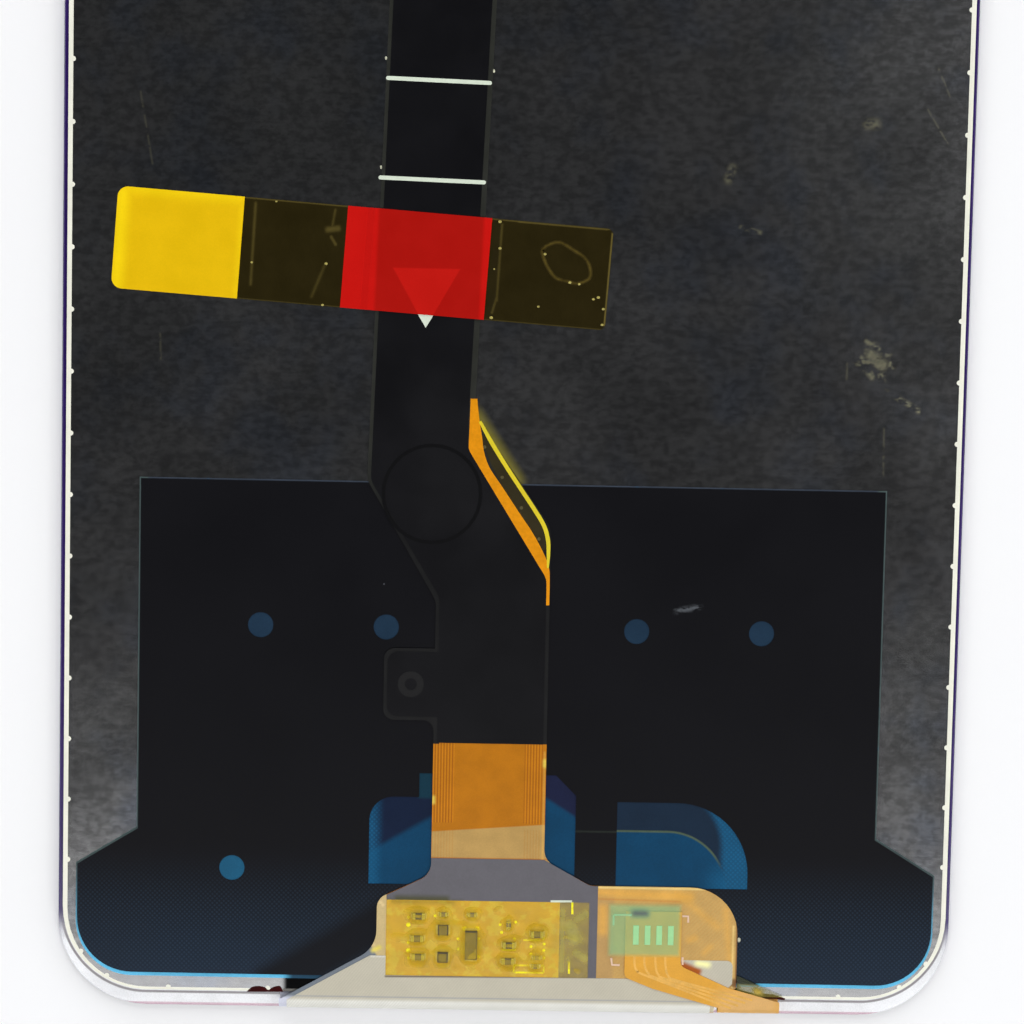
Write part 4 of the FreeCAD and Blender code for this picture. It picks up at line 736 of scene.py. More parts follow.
@dataclass(frozen=True)
class PrintedFlex(Finish):
    """Amber printed circuit, in zones: rims, bare window, branch, wing and component area."""

    rim: Colour = tone(42, 43, 39)
    rim_dark: Colour = tone(21, 21, 22)
    bare: Colour = tone(180, 110, 2)
    bare_dark: Colour = tone(156, 86, 0)
    bare_light: Colour = tone(214, 138, 14)
    glint: Colour = tone(232, 214, 90)
    peach: Colour = tone(184, 148, 86)
    peach_light: Colour = tone(226, 172, 78)
    peach_line: Colour = tone(176, 104, 42)
    branch: Colour = tone(196, 158, 92)
    branch_left: Colour = tone(186, 148, 92)
    branch_gold: Colour = tone(232, 172, 70)
    branch_warm: Colour = tone(196, 128, 52)
    board: Colour = tone(216, 170, 66)
    board_light: Colour = tone(222, 200, 84)
    wing: Colour = tone(203, 180, 128)
    wing_spot: Colour = tone(232, 206, 150)
    slope: Colour = tone(112, 120, 130)
    edge: Colour = tone(240, 210, 132)
    fold_end: Colour = tone(206, 196, 170)
    fold_tip: Colour = tone(214, 216, 232)
    gap_edge_shade: Colour = tone(96, 52, 22)

    def colouring(self, graph: Graph) -> Input:
        """Lays the zones over one another from the cable down to the fold.

        Args:
            graph: the material's graph.

        Returns:
            The colour before the clouds.
        """
        _, along, _ = graph.split(graph.place)
        colour = graph.lay(
            self.rim,
            (self.rim_dark, graph.span(along, -34.0, -42.0)),
            (self.bare, graph.span(along, -59.4, -59.6)),
        )
        for zone in (self.bare_window, self.branch_zone, self.board_zone, self.wing_zone):
            colour = zone(graph, colour)
        return colour

    def bare_window(self, graph: Graph, colour: Input) -> Input:
        """The bare stretch of the stem, with traces along both its sides.

        Args:
            graph: the material's graph.
            colour: the colour under it.

        Returns:
            The colour with the zone over it.
        """
        lines = graph.effect(Effect.LINES, 0.24, 0.5)
        light = graph.joined(
            graph.patch(Patch((-1.5, -68.55), (11.0, 3.5), 0.06, 4.3)),
            graph.patch(Patch((-1.5, -71.5), (12.0, 10.4), 0.05)),
        )
        colour = graph.paint(colour, self.peach, light)
        for centre, width in ((-5.45, 1.9), (2.05, 1.5)):
            traced = graph.patch(Patch((centre, -62.9), (width, 7.0), 0.05))
            faint = graph.patch(Patch((centre, -68.2), (width, 2.6), 0.05))
            colour = graph.lay(
                colour,
                (self.bare_dark, graph.joined(traced, 0.8)),
                (self.bare_light, graph.joined(traced, lines, 0.6)),
                (self.bare, graph.joined(faint, lines, 0.22)),
            )
        return graph.lay(
            colour,
            (self.peach_line, Patch((-1.6, -69.37), (10.4, 0.12), 0.06, 0, 0.8)),
            (self.peach_light, Patch((2.96, -65.0), (0.18, 9.4), 0.10, 0, 0.45)),
            (self.glint, Patch((2.98, -61.3), (0.24, 0.7), 0.18, 0, 0.8)),
            (self.glint, Patch((-6.2, -64.5), (0.24, 0.7), 0.18, 0, 0.8)),
            (self.rim_dark, Patch((-6.15, -59.55), (0.66, 0.5), 0.02)),
            (self.rim_dark, Patch((3.0, -59.5), (0.56, 0.4), 0.02)),
        )

    def branch_zone(self, graph: Graph, colour: Input) -> Input:
        """The right branch, hatched, with a bright upper edge, a gap at the tape, and painted highlight
        and shade on the strip beside it.

        Args:
            graph: the material's graph.
            colour: the colour under it.

        Returns:
            The colour with the zone over it.
        """
        branch = graph.patch(Patch((13.6, -76.2), (12.2, 9.6), 0.04))
        hatch = graph.effect(Effect.LINES, 0.26, 0.4, place=graph.turned(graph.place, 45))
        return graph.lay(
            colour,
            (self.branch, branch),
            (self.branch_warm, graph.joined(branch, hatch, 0.16)),
            (self.branch_left, Patch((8.3, -76.2), (1.5, 9.6), 0.2, 0, 0.85)),
            (self.branch_gold, Patch((11.2, -72.2), (9.0, 0.8), 0.4, -2, 0.7)),
            (self.branch_warm, Patch((10.9, -72.68), (7.4, 0.12), 0.1, -1, 0.7)),
            (self.branch_gold, Patch((16.0, -73.5), (5.0, 0.5), 0.4, -38, 0.4)),
            (self.branch_gold, Patch((18.6, -75.6), (0.5, 5.0), 0.35, 6, 0.4)),
            (self.branch_gold, Patch((15.6, -75.9), (1.0, 0.5), 0.3, 20, 0.45)),
            (self.branch_gold, Patch((16.9, -76.8), (1.2, 0.4), 0.3, 45, 0.4)),
            (self.branch_gold, Patch((8.1, -74.4), (0.8, 2.6), 0.4, 0, 0.6)),
            (self.edge, Patch((12.4, -71.66), (9.6, 0.16), 0.10, 0, 0.9)),
            # Painted highlight on the lit left side of the strip beside the gap, and painted shade on
            # its right side and foot.
            (self.edge, Patch((19.05, -77.4), (0.16, 5.4), 0.08, 0, 0.6)),
            (self.gap_edge_shade, Patch((19.36, -76.6), (0.12, 6.8), 0.08, 0, 0.8)),
            (self.gap_edge_shade, Patch((19.2, -79.6), (0.5, 0.7), 0.15, -20, 0.8)),
        )

    def wing_zone(self, graph: Graph, colour: Input) -> Input:
        """The wing beside the component area, and the sloping edge down to the fold.

        Args:
            graph: the material's graph.
            colour: the colour under it.

        Returns:
            The colour with the zone over it.
        """
        wing = graph.patch(Patch((-11.0, -75.5), (2.1, 8.0), 0.05))
        spots = graph.effect(Effect.SPECKS, 0.7, 0.4, 0.5)
        return graph.lay(
            colour,
            (self.wing, wing),
            (self.wing_spot, graph.joined(wing, spots, 0.7)),
            (self.slope, Patch((-15.9, -79.7), (11.0, 2.6), 0.1, 29.3, 1.0)),
            (self.fold_tip, Patch((-17.8, -82.1), (2.6, 1.6), 0.2, 0, 0.95)),
            (self.glint, Patch((-10.75, -77.15), (0.9, 0.34), 0.2, 26, 0.9)),
            (self.fold_end, Patch((17.5, -81.8), (0.7, 0.8), 0.1, 0, 1.0)),
        )

    def board_zone(self, graph: Graph, colour: Input) -> Input:
        """The component area, with lighter copper fields.

        Args:
            graph: the material's graph.
            colour: the colour under it.

        Returns:
            The colour with the zone over it.
        """
        board = graph.patch(Patch((-2.72, -76.15), (14.5, 6.46), 0.02))
        fields = graph.effect(Effect.GRAIN, (1.1, 0.9, 1.0), 2.0)
        light = graph.joined(board, graph.span(fields, 0.48, 0.6), 0.7)
        return graph.lay(colour, (self.board, board), (self.board_light, light))


@dataclass(frozen=True)
class CoverGlass(Finish):
    """Toughened glass over black print; its chin picks up the pale ground."""

    chin: Colour = tone(243, 244, 249)
    chin_edge_highlight: Colour = tone(206, 172, 188)
    violet: Colour = tone(44, 16, 98)
    low_line: Colour = tone(58, 34, 48)

    def colouring(self, graph: Graph) -> Input:
        """Violet black at the sides, pale round the foot, with two fine lines there; the outer one is a
        painted highlight.

        Args:
            graph: the material's graph.

        Returns:
            The colour before the clouds.
        """
        across, along, level = graph.split(graph.place)
        back = graph.span(level, 0.45, 0.6)
        chin = graph.joined(graph.span(along, -74.5, -77.6), back)
        beyond = graph.beyond((-37.25, -81.56), (37.25, 90.0), 7.2)
        line = graph.span(graph.calc("ABSOLUTE", beyond), 0.05, 0.16, 1.0, 0.0)
        return graph.lay(
            self.colour,
            (self.violet, graph.span(graph.calc("ABSOLUTE", across), 36.75, 37.1)),
            (self.chin, chin),
            (self.low_line, graph.joined(line, chin, 0.8)),
            # Painted highlight along the glass's lower edge.
            (self.chin_edge_highlight, graph.joined(graph.span(along, -82.40, -82.50), back)),
        )


@dataclass(frozen=True)
class GradedFilm(Finish):
    """A film that has a second colour in some rectangles."""

    second: Colour = (0.0, 0.0, 0.0)
    fields: Sequence[Patch] = ()

    def colouring(self, graph: Graph) -> Socket:
        """The main colour with the second one laid over it."""
        return graph.paint(self.colour, self.second, graph.strongest(self.fields))


@dataclass(frozen=True)
class WovenTape(GradedFilm):
    """Paper-backed tape with a fine slanting weave, fine lines along its foot, and painted shade and
    highlights.
    """

    weave: Colour = tone(160, 152, 136)
    foot_line: Colour = tone(120, 132, 160)
    dark: Colour = tone(84, 66, 52)
    gap_shadow: Colour = tone(166, 84, 22)
    light: Colour = tone(255, 250, 176)

    def colouring(self, graph: Graph) -> Input:
        """Fine slanting lines over the tape's colour, the marks along its foot, and painted shade and
        highlight.

        Args:
            graph: the material's graph.

        Returns:
            The colour before the clouds.
        """
        lines = graph.effect(Effect.LINES, 0.20, 0.5, place=graph.turned(graph.place, 38))
        return graph.lay(
            super().colouring(graph),
            (self.weave, graph.joined(lines, 0.16)),
            (self.foot_line, Patch((-1.0, -81.22), (37.0, 0.10), 0.06, 0, 0.45)),
            # Painted shadow below the raised edge of the component board.
            (self.dark, Patch((-1.0, -79.36), (18.0, 0.16), 0.08, 0.6, 0.8)),
            # Painted shadow and painted highlight at the corner of the gap beside the branch.
            (self.gap_shadow, Patch((15.3, -78.32), (2.4, 0.6), 0.22, -22, 1.0)),
            (self.light, Patch((16.55, -78.0), (1.3, 0.45), 0.3, -8, 1.0)),
        )


@dataclass(frozen=True)
class ClearTape(GradedFilm):
    """Clear tape: its second colour is more solid, and its folds catch light."""

    fold: Colour = tone(214, 200, 90)
    folds: Sequence[Patch] = ()
    solid: float = 0.8
    edge: Sequence[Point] = ()
    edge_soft: float = 0.25

    def colouring(self, graph: Graph) -> Socket:
        """The tape's colours with its folds over them."""
        return graph.paint(super().colouring(graph), self.fold, graph.strongest(self.folds))

    def opacity(self, graph: Graph) -> Input:
        """More solid in its fields and folds, and thinner along soft edges.

        Args:
            graph: the material's graph.

        Returns:
            How solid it is, from 0 to 1.
        """
        solid: Input = self.alpha
        for patches in (self.fields, self.folds):
            thick = graph.joined(graph.strongest(patches), self.solid - self.alpha)
            solid = graph.calc("ADD", solid, thick)
        if self.edge:
            beyond = graph.beyond(self.edge[0], self.edge[1], 0.3)
            solid = graph.joined(solid, graph.span(beyond, -self.edge_soft, 0.02, 1.0, 0.15))
        return solid


@dataclass(frozen=True)
class RedFilm(GradedFilm):
    """Red film: darker over the cable, brighter over the white arrow printed on it."""

    arrow: Colour = tone(190, 20, 12)
    tip: Point = (-7.55, -25.44)
    arrow_top: float = -20.6
    arrow_slope: float = 0.567

    def colouring(self, graph: Graph) -> Socket:
        """Bright over the plate, dark over the cable, with the arrow in it.

        Args:
            graph: the material's graph.

        Returns:
            The colour before the clouds.
        """
        across, along, _ = graph.split(graph.place)
        off = graph.calc("ABSOLUTE", graph.calc("SUBTRACT", across, self.tip[0]))
        rise = graph.calc("SUBTRACT", along, self.tip[1])
        reach = graph.calc("SUBTRACT", graph.joined(rise, self.arrow_slope), off)
        top = graph.span(along, self.arrow_top + 0.08, self.arrow_top - 0.08)
        inside = graph.joined(graph.span(reach, -0.08, 0.08), top)
        return graph.paint(super().colouring(graph), self.arrow, inside)


STRAP_TURN = -3.75

FINISHES: dict[str, Finish] = {
    "cover_glass": CoverGlass("cover glass", tone(16, 12, 28), roughness=0.22, coat=0.35, relief=0.0005),
    "back_plate": BrushedPlate(
        "brushed plate", (0.135, 0.135, 0.137), roughness=0.19, metallic=1.0, cloud=9.0,
        cloud_share=0.03, grain=(1.6, 0.14, 1.0), relief=0.0006,
    ),
    # The frame's second colour is a painted shadow under the flex's sloping edge.
    "moulded_frame": GradedFilm(
        "cream plastic", tone(238, 237, 222), roughness=0.45, cloud=2.0, cloud_share=0.06,
        second=tone(40, 32, 32), fields=(Patch((-16.9, -80.9), (3.4, 1.2), 0.2, 0, 0.9),),
    ),
    "black_film": PrintedBlackFilm(
        "printed black film", tone(14, 14, 18), roughness=0.38, specular=0.06, cloud=12.0,
        cloud_share=0.12, relief=0.002,
    ),
    "blue_film": BlueFilm("blue film", tone(24, 108, 160), roughness=0.4, specular=0.05, relief=0.002),
    "main_flex": PrintedFlex(
        "printed flex", tone(216, 168, 89), roughness=0.34, specular=0.12, cloud=1.6,
        cloud_share=0.10, relief=0.003,
    ),
    "cable_shield_film": GradedFilm(
        "cable film", tone(15, 15, 18), roughness=0.36, specular=0.08, cloud=6.0, cloud_share=0.2,
        relief=0.004, second=tone(23, 23, 25),
        fields=(Patch((-4.0, -36.0), (9.0, 12.0), 2.0, 0, 0.5),),
    ),
    # The grey film's second colour is a painted olive shadow along the clear yellow tape's top edge.
    "grey_shield_film": GradedFilm(
        "grey shield film", tone(98, 96, 102), roughness=0.5, specular=0.2, cloud=1.5,
        cloud_share=0.08, grain=(0.18, 0.18, 0.18), second=tone(66, 66, 18),
        fields=(
            Patch((-7.0, -72.95), (4.6, 0.7), 0.3, 0, 0.8),
            Patch((-6.9, -73.1), (6.8, 0.4), 0.3, 0, 0.6),
        ),
    ),
    # The pale field along the fold is a painted highlight on the bend.
    "bend_tape": WovenTape(
        "beige tape", tone(196, 190, 172), roughness=0.62, specular=0.2, cloud=2.2, cloud_share=0.05,
        grain=(0.16, 0.10, 0.12), relief=0.006, second=tone(240, 240, 234),
        fields=(
            Patch((0.0, -82.0), (40.0, 1.0), 0.2, 0, 0.8),
            Patch((-9.6, -77.78), (3.2, 0.12), 0.08, 0, 0.5),
        ),
    ),
    "backlight_flex": GradedFilm(
        "strip flex", tone(222, 162, 60), roughness=0.36, specular=0.10, cloud=2.0, cloud_share=0.08,
        second=tone(222, 176, 112), fields=(Patch((20.4, -81.4), (5.2, 2.2), 0.8, 0, 0.9),),
    ),
    # Its darker second colour along the top edge is a painted olive shadow.
    "component_tape": ClearTape(
        "clear yellow tape", tone(224, 190, 30), roughness=0.3, specular=0.3, alpha=0.32,
        cloud=1.2, cloud_share=0.2, relief=0.004, second=tone(120, 112, 26), solid=0.62,
        fields=(Patch((-6.9, -73.12), (5.4, 0.3), 0.25, 0, 0.6),), fold=tone(200, 190, 84),
        folds=(
            Patch((5.6, -75.5), (1.2, 2.2), 0.5, 25, 0.8),
            Patch((6.3, -74.15), (1.5, 0.7), 0.3, 30, 0.7),
            Patch((6.3, -77.4), (1.5, 0.7), 0.3, -30, 0.7),
            Patch((5.3, -77.9), (0.5, 1.0), 0.3, 0, 0.5),
            Patch((6.0, -74.75), (1.5, 0.14), 0.14, 10, 0.3),
            Patch((6.0, -76.6), (1.4, 0.14), 0.14, 28, 0.35),
            Patch((4.75, -76.2), (0.5, 5.6), 0.25, 0, 0.6),
            Patch((4.2, -75.9), (0.6, 2.6), 0.4, 0, 0.4),
        ),
    ),
    "joint_tape": ClearTape(
        "clear green tape", tone(150, 226, 168), roughness=0.4, specular=0.08, alpha=0.22,
        cloud=1.4, cloud_share=0.06, second=tone(96, 104, 120), solid=0.6,
        fields=(Patch((11.2, -73.75), (1.5, 0.6), 0.35, 0, 0.9),), fold=tone(176, 236, 186),
        folds=(
            Patch((9.0, -74.35), (0.17, 0.9), 0.08, 0, 0.6),
            Patch((9.75, -73.9), (1.5, 0.17), 0.08, 0, 0.6),
        ),
        edge=((8.5, -77.45), (14.7, -72.9)), edge_soft=0.4,
    ),
    # Its fold field is a painted yellow highlight.
    "tail_tape": ClearTape(
        "olive clear tape", tone(168, 156, 60), roughness=0.28, specular=0.2, alpha=0.2, cloud=0.8,
        cloud_share=0.25, second=tone(38, 44, 18), solid=0.85,
        fields=(
            Patch((20.40, -79.10), (3.6, 1.3), 0.15, -2, 1.0),
            Patch((19.33, -79.88), (0.8, 0.9), 0.25, 0, 0.6),
        ),
        fold=tone(206, 168, 40), folds=(Patch((21.24, -80.32), (0.8, 0.45), 0.3, -18, 0.7),),
    ),
    # The first three fields, thin lines along the strap's top, bottom and right edges, are painted
    # highlights.
    "hold_down_tape": GradedFilm(
        "amber clear tape", tone(38, 31, 6), roughness=0.45, specular=0.05, alpha=0.92, cloud=2.5,
        cloud_share=0.15, relief=0.001, second=tone(116, 102, 50),
        fields=(
            Patch((-12.55, -15.80), (40.0, 0.10), 0.07, STRAP_TURN, 0.45),
            Patch((-13.07, -23.98), (40.0, 0.08), 0.06, STRAP_TURN, 0.25),
            Patch((7.33, -21.2), (0.12, 7.6), 0.07, STRAP_TURN, 0.8),
            Patch((3.5, -16.88), (7.4, 0.12), 0.07, STRAP_TURN, 0.5),
            Patch((-21.74, -18.9), (0.16, 6.8), 0.16, -2.9, 0.36),
            Patch((-15.2, -16.7), (0.14, 1.6), 0.14, -10, 0.3),
            Patch((-15.25, -17.55), (1.2, 0.4), 0.2, 8, 0.42),
            Patch((-15.2, -18.5), (0.9, 0.2), 0.12, -58, 0.36),
            Patch((-16.4, -21.8), (0.2, 3.0), 0.16, -22, 0.22),
            Patch((-1.62, -20.0), (0.16, 6.4), 0.12, -3, 0.3),
            Patch((-1.95, -23.4), (0.16, 1.6), 0.12, -16, 0.3),
        ),
    ),
    "pull_tab": GradedFilm(
        "yellow film", tone(228, 184, 2), roughness=0.46, specular=0.08, cloud=2.6, cloud_share=0.05,
        relief=0.003, second=tone(248, 214, 10),
        fields=(
            Patch((-32.6, -18.7), (1.0, 8.6), 0.6, STRAP_TURN, 0.9),
            Patch((-27.8, -14.9), (10.8, 0.8), 0.55, STRAP_TURN, 0.6),
            Patch((-22.9, -19.4), (0.4, 8.6), 0.3, STRAP_TURN, 0.4),
        ),
    ),
    "red_marker": RedFilm(
        "red film", tone(196, 16, 10), roughness=0.44, specular=0.06, cloud=3.0, cloud_share=0.05,
        relief=0.003, second=tone(168, 14, 6),
        fields=(Patch((-7.35, -20.3), (8.6, 12.0), 0.2, -1.8, 1.0),),
    ),
}

PLAIN_FINISHES: dict[str, Finish] = {finish.name: finish for finish in (
    Finish("clear adhesive", (0.72, 0.75, 0.76), roughness=0.3, alpha=0.6),
    Finish("polariser film", tone(40, 40, 44), roughness=0.3),
    Finish("display glass", tone(96, 110, 114), roughness=0.12, coat=0.4, alpha=0.7),
    Finish("silicon", tone(70, 72, 80), roughness=0.25, metallic=0.6),
    Finish("black tape", tone(26, 26, 26), roughness=0.6),
    Finish(
        "prism film", tone(216, 222, 226), roughness=0.25, alpha=0.75, grain=(0.05, 4.0, 1.0),
        relief=0.01,
    ),
    Finish("diffuser film", tone(236, 236, 234), roughness=0.8),
    Finish("light guide", tone(222, 232, 234), roughness=0.15, coat=0.3, alpha=0.8),
    Finish("mirror film", (0.9, 0.9, 0.9), roughness=0.1, metallic=1.0),
    Finish("ring film", tone(27, 27, 28), roughness=0.5, specular=0.1),
    Finish("stamp ink", tone(9, 9, 11), roughness=0.5, specular=0.06),
    Finish("chip package", tone(50, 50, 54), roughness=0.45, specular=0.2, cloud=0.5),
    Finish("capacitor ceramic", tone(58, 56, 46), roughness=0.45, cloud=0.4),
    Finish("resistor ceramic", tone(64, 64, 66), roughness=0.3, cloud=0.4),
    Finish(
        "tinned end", tone(186, 172, 70), roughness=0.5, specular=0.1, cloud=0.3, cloud_share=0.2,
    ),
    Finish(
        "solder", tone(202, 190, 120), roughness=0.35, metallic=0.6, cloud=0.3, cloud_share=0.2
    ),
    Finish("green joint", tone(176, 224, 160), roughness=0.4, cloud=0.5, cloud_share=0.08),
    Finish("gold", (0.76, 0.52, 0.18), roughness=0.3, metallic=1.0, cloud=0.4),
    Finish("lamp package", tone(236, 232, 200), roughness=0.4),
    Finish(
        "stiffener steel", (0.5, 0.5, 0.51), roughness=0.3, metallic=1.0, grain=(2.0, 0.06, 1.0)
    ),
    Finish("connector housing", tone(34, 34, 36), roughness=0.5, relief=0.008),
    Finish("white ink", tone(212, 222, 204), roughness=0.6, cloud=0.8, cloud_share=0.05),
    Finish("pink ink", tone(228, 196, 170), roughness=0.6, cloud=0.6, cloud_share=0.08),
    Finish("yellow edge", tone(220, 200, 44), roughness=0.4, specular=0.1, cloud_share=0.08),
    Finish(
        "copper band", tone(222, 142, 10), roughness=0.4, specular=0.08, cloud=1.2, cloud_share=0.10,
        grain=(0.3, 0.3, 0.3),
    ),
    Finish("dark flank", tone(48, 42, 22), roughness=0.4, specular=0.1, cloud=2.0),
    Finish("flank dot", tone(84, 78, 50), roughness=0.4, specular=0.1, cloud=0.5),
    Finish("trace", tone(226, 174, 84), roughness=0.35, specular=0.15, cloud=0.8),
    Finish("bright pad", tone(250, 240, 40), roughness=0.4, specular=0.1, cloud=0.4),
    *(
        Finish(name, colour, roughness=0.4, specular=0.06, cloud=0.8, cloud_share=0.4)
        for name, colour in (("amber crease", tone(74, 62, 22)), ("amber haze", tone(52, 43, 14)))
    ),
    Finish("tape glint", tone(170, 158, 84), roughness=0.3, cloud=0.4, cloud_share=0.3),
    Finish("bright speck", tone(200, 200, 176), roughness=0.3, cloud=0.3, cloud_share=0.3),
    Finish("dried glue", tone(52, 8, 10), roughness=0.6, specular=0.05, cloud=0.5, cloud_share=0.3),
    Finish(
        "pale floor", (0.955, 0.955, 0.97), roughness=0.8, specular=0.1, cloud=60.0, cloud_share=0.01,
        relief=0.0,
    ),
)}

NODE_FINISHES: dict[str, str] = {
    "optical_adhesive": "clear adhesive",
    "front_polariser": "polariser film",
    "rear_polariser": "polariser film",
    "colour_filter_glass": "display glass",
    "tft_glass": "display glass",
    "driver_chip": "silicon",
    "rim_tape": "black tape",
    "cable_adhesive": "black tape",
    "upper_prism_film": "prism film",
    "lower_prism_film": "prism film",
    "diffuser_film": "diffuser film",
    "light_guide": "light guide",
    "reflector_film": "mirror film",
    "ear_ring": "ring film",
    "chip_capacitors": "capacitor ceramic",
    "chip_resistors": "resistor ceramic",
    "protection_diodes": "chip package",
    "memory_chip": "chip package",
    "solder_lands": "solder",
    "solder_joints": "green joint",
    "backlight_lamps": "lamp package",
    "connector_stiffener": "stiffener steel",
    "board_connector": "connector housing",
    "connector_contacts": "gold",
}


class Workshop:
    """Makes materials once and turns finished meshes into pieces of the module."""

    def __init__(self) -> None:
        """Starts with no material made."""
        self.made: dict[str, bpy.types.Material] = {}

    def material(self, name: str) -> bpy.types.Material:
        """Gives the material of a finish, by its name or its node's name.

        Args:
            name: the finish's name, or its node's.

        Returns:
            The material, built once.
        """
        if name not in self.made:
            finish = FINISHES.get(name) or PLAIN_FINISHES[name]
            self.made[name] = finish.material()
        return self.made[name]

    def dress(self, node: str, name: str) -> None:
        """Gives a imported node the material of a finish.

        Args:
            node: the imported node.
            name: the finish's name, or its node's.
        """
        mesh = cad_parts[node].data
        mesh.materials.clear()
        mesh.materials.append(self.material(name))

    def piece(self, name: str, relief: Relief, finish: str, slot: str,
              smooth: bool = False) -> bpy.types.Object:
        """Makes a piece of a relief and lets it ride on the module.

        Args:
            name: the piece's name.
            relief: its relief, whose mesh is freed.
            finish: the name of its finish.
            slot: not used.
            smooth: whether its faces are shaded smooth.

        Returns:
            The new object.
        """
        mesh = relief.mesh
        bmesh.ops.recalc_face_normals(mesh, faces=mesh.faces)
        bmesh.ops.scale(mesh, vec=(MM, MM, MM), verts=mesh.verts)
        data = bpy.data.meshes.new(name)
        for face in mesh.faces:
            face.smooth = smooth
        mesh.to_mesh(data)
        mesh.free()
        data.materials.append(self.material(finish))
        piece = bpy.data.objects.new(name, data)
        bpy.context.scene.collection.objects.link(piece)
        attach(piece, "root")
        log.info("%s: %d faces", name, len(data.polygons))
        return piece


def smooth_route(points: Sequence[Point], steps: int) -> list[Vector]:
    """Runs a smooth line through some points.

    Args:
        points: the points, in millimetres.
        steps: how many steps lie between two points; 1 keeps the runs straight.

    Returns:
        The line's points.
    """
    ends = [Vector(point) for point in points]
    route = []
    for index in range(len(ends) - 1):
        before = ends[max(index - 1, 0)]
        start, stop = ends[index], ends[index + 1]
        after = ends[min(index + 2, len(ends) - 1)]
        for step in range(steps):
            share = step / steps
            bend = (
                (stop - before) * share
                + (2 * before - 5 * start + 4 * stop - after) * share**2
                + (3 * start - before - 3 * stop + after) * share**3
            )
            route.append(start + bend / 2)
    return route + [ends[-1]]


class Relief:
    """A mesh in the making, in millimetres: thin strips and plates, domes and blocks."""

    def __init__(self) -> None:
        """Starts with an empty mesh."""
        self.mesh = bmesh.new()

    def thicken(self, faces: Sequence[bmesh.types.BMFace], thick: float) -> None:
        """Makes flat faces into a solid of some thickness.

        Args:
            faces: the flat faces.
            thick: their thickness.
        """
        grown = bmesh.ops.extrude_face_region(self.mesh, geom=faces)["geom"]
        raised = [item for item in grown if isinstance(item, bmesh.types.BMVert)]
        bmesh.ops.translate(self.mesh, verts=raised, vec=(0, 0, thick))

    def strip(self, points: Sequence[Point], width: float | Sequence[float], level: float,
              thick: float = 0.012, steps: int = 6) -> Relief:
        """Lays a thin flat strip along a smooth line.

        Args:
            points: the line's points.
            width: the strip's width, or its width at each point.
            level: height of its underside over the front face.
            thick: its thickness.
            steps: steps between two points; 1 keeps the runs straight.

        Returns:
            The relief itself.
        """
        route = smooth_route(points, steps)
        last = len(route) - 1
        widths = [width] * len(points) if isinstance(width, float) else list(width)
        widths.append(widths[-1])
        grid = bmesh.ops.create_grid(self.mesh, x_segments=last, y_segments=1, size=1.0)["verts"]
        for vert in grid:
            number = round((vert.co.x + 1) / 2 * last)
            ahead = route[min(number + 1, last)] - route[max(number - 1, 0)]
            whole, share = divmod(number / steps, 1)
            half = (widths[int(whole)] * (1 - share) + widths[int(whole) + 1] * share) / 2
            aside = Vector((-ahead.y, ahead.x)).normalized() * math.copysign(half, vert.co.y)
            vert.co = (*(route[number] + aside), level)
        corners = set(grid)
        self.thicken([face for face in self.mesh.faces if corners.issuperset(face.verts)], thick)
        return self

    def plate(self, corners: Sequence[Point], level: float, thick: float = 0.012) -> Relief:
        """Lays a thin flat plate with straight sides.

        Args:
            corners: its corners, in order.
            level: height of its underside over the front face.
            thick: its thickness.

        Returns:
            The relief itself.
        """
        verts = [self.mesh.verts.new((*corner, level)) for corner in corners]
        self.thicken([self.mesh.faces.new(verts)], thick)
        return self

    def domes(self, centres: Sequence[Point], size: Point, level: float, height: float) -> Relief:
        """Lays low domes, such as beads of solder or specks.

        Args:
            centres: their middles.
            size: what each measures across and along the phone.
            level: height of their feet over the front face.
            height: how far they stand up.

        Returns:
            The relief itself.
        """
        for centre in centres:
            place = Matrix.Translation((*centre, level)) @ Matrix.Diagonal((*size, height * 2, 1.0))
            bmesh.ops.create_uvsphere(self.mesh, u_segments=12, v_segments=6, radius=0.5, matrix=place)
        return self

    def block(self, centre: Vector, size: Vector, bevel: float) -> None:
        """Adds a box with bevelled edges.

        Args:
            centre: its middle.
            size: its size along each axis.
            bevel: width of the bevels.
        """
        place = Matrix.Translation(centre) @ Matrix.Diagonal((*size, 1.0))
        corners = set(bmesh.ops.create_cube(self.mesh, size=1.0, matrix=place)["verts"])
        edges = [edge for edge in self.mesh.edges if corners.issuperset(edge.verts)]
        bmesh.ops.bevel(self.mesh, geom=edges, offset=bevel, affect="EDGES", segments=1,
                        profile=0.5, material=-1)


def top_of(node: str) -> float:
    """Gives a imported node's highest level in millimetres."""
    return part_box(node)[1].z / MM


def islands(node: str) -> list[tuple[Vector, Vector]]:
    """Finds the boxes of a node's separate solids.

    Args:
        node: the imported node's name.

    Returns:
        Each solid's lowest and highest corner, in millimetres.
    """
    mesh = bmesh.new()
    mesh.from_mesh(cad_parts[node].data)
    bmesh.ops.remove_doubles(mesh, verts=mesh.verts, dist=1e-7)
    left = set(mesh.verts)
    boxes = []
    while left:
        group, edge = set(), [left.pop()]
        while edge:
            vert = edge.pop()
            group.add(vert)
            for link in vert.link_edges:
                other = link.other_vert(vert)
                if other in left:
                    left.discard(other)
                    edge.append(other)
        places = [vert.co / MM for vert in group]
        low = Vector(min(place[axis] for place in places) for axis in range(3))
        high = Vector(max(place[axis] for place in places) for axis in range(3))
        boxes.append((low, high))
    mesh.free()
    return sorted(boxes, key=lambda box: tuple(box[0]))


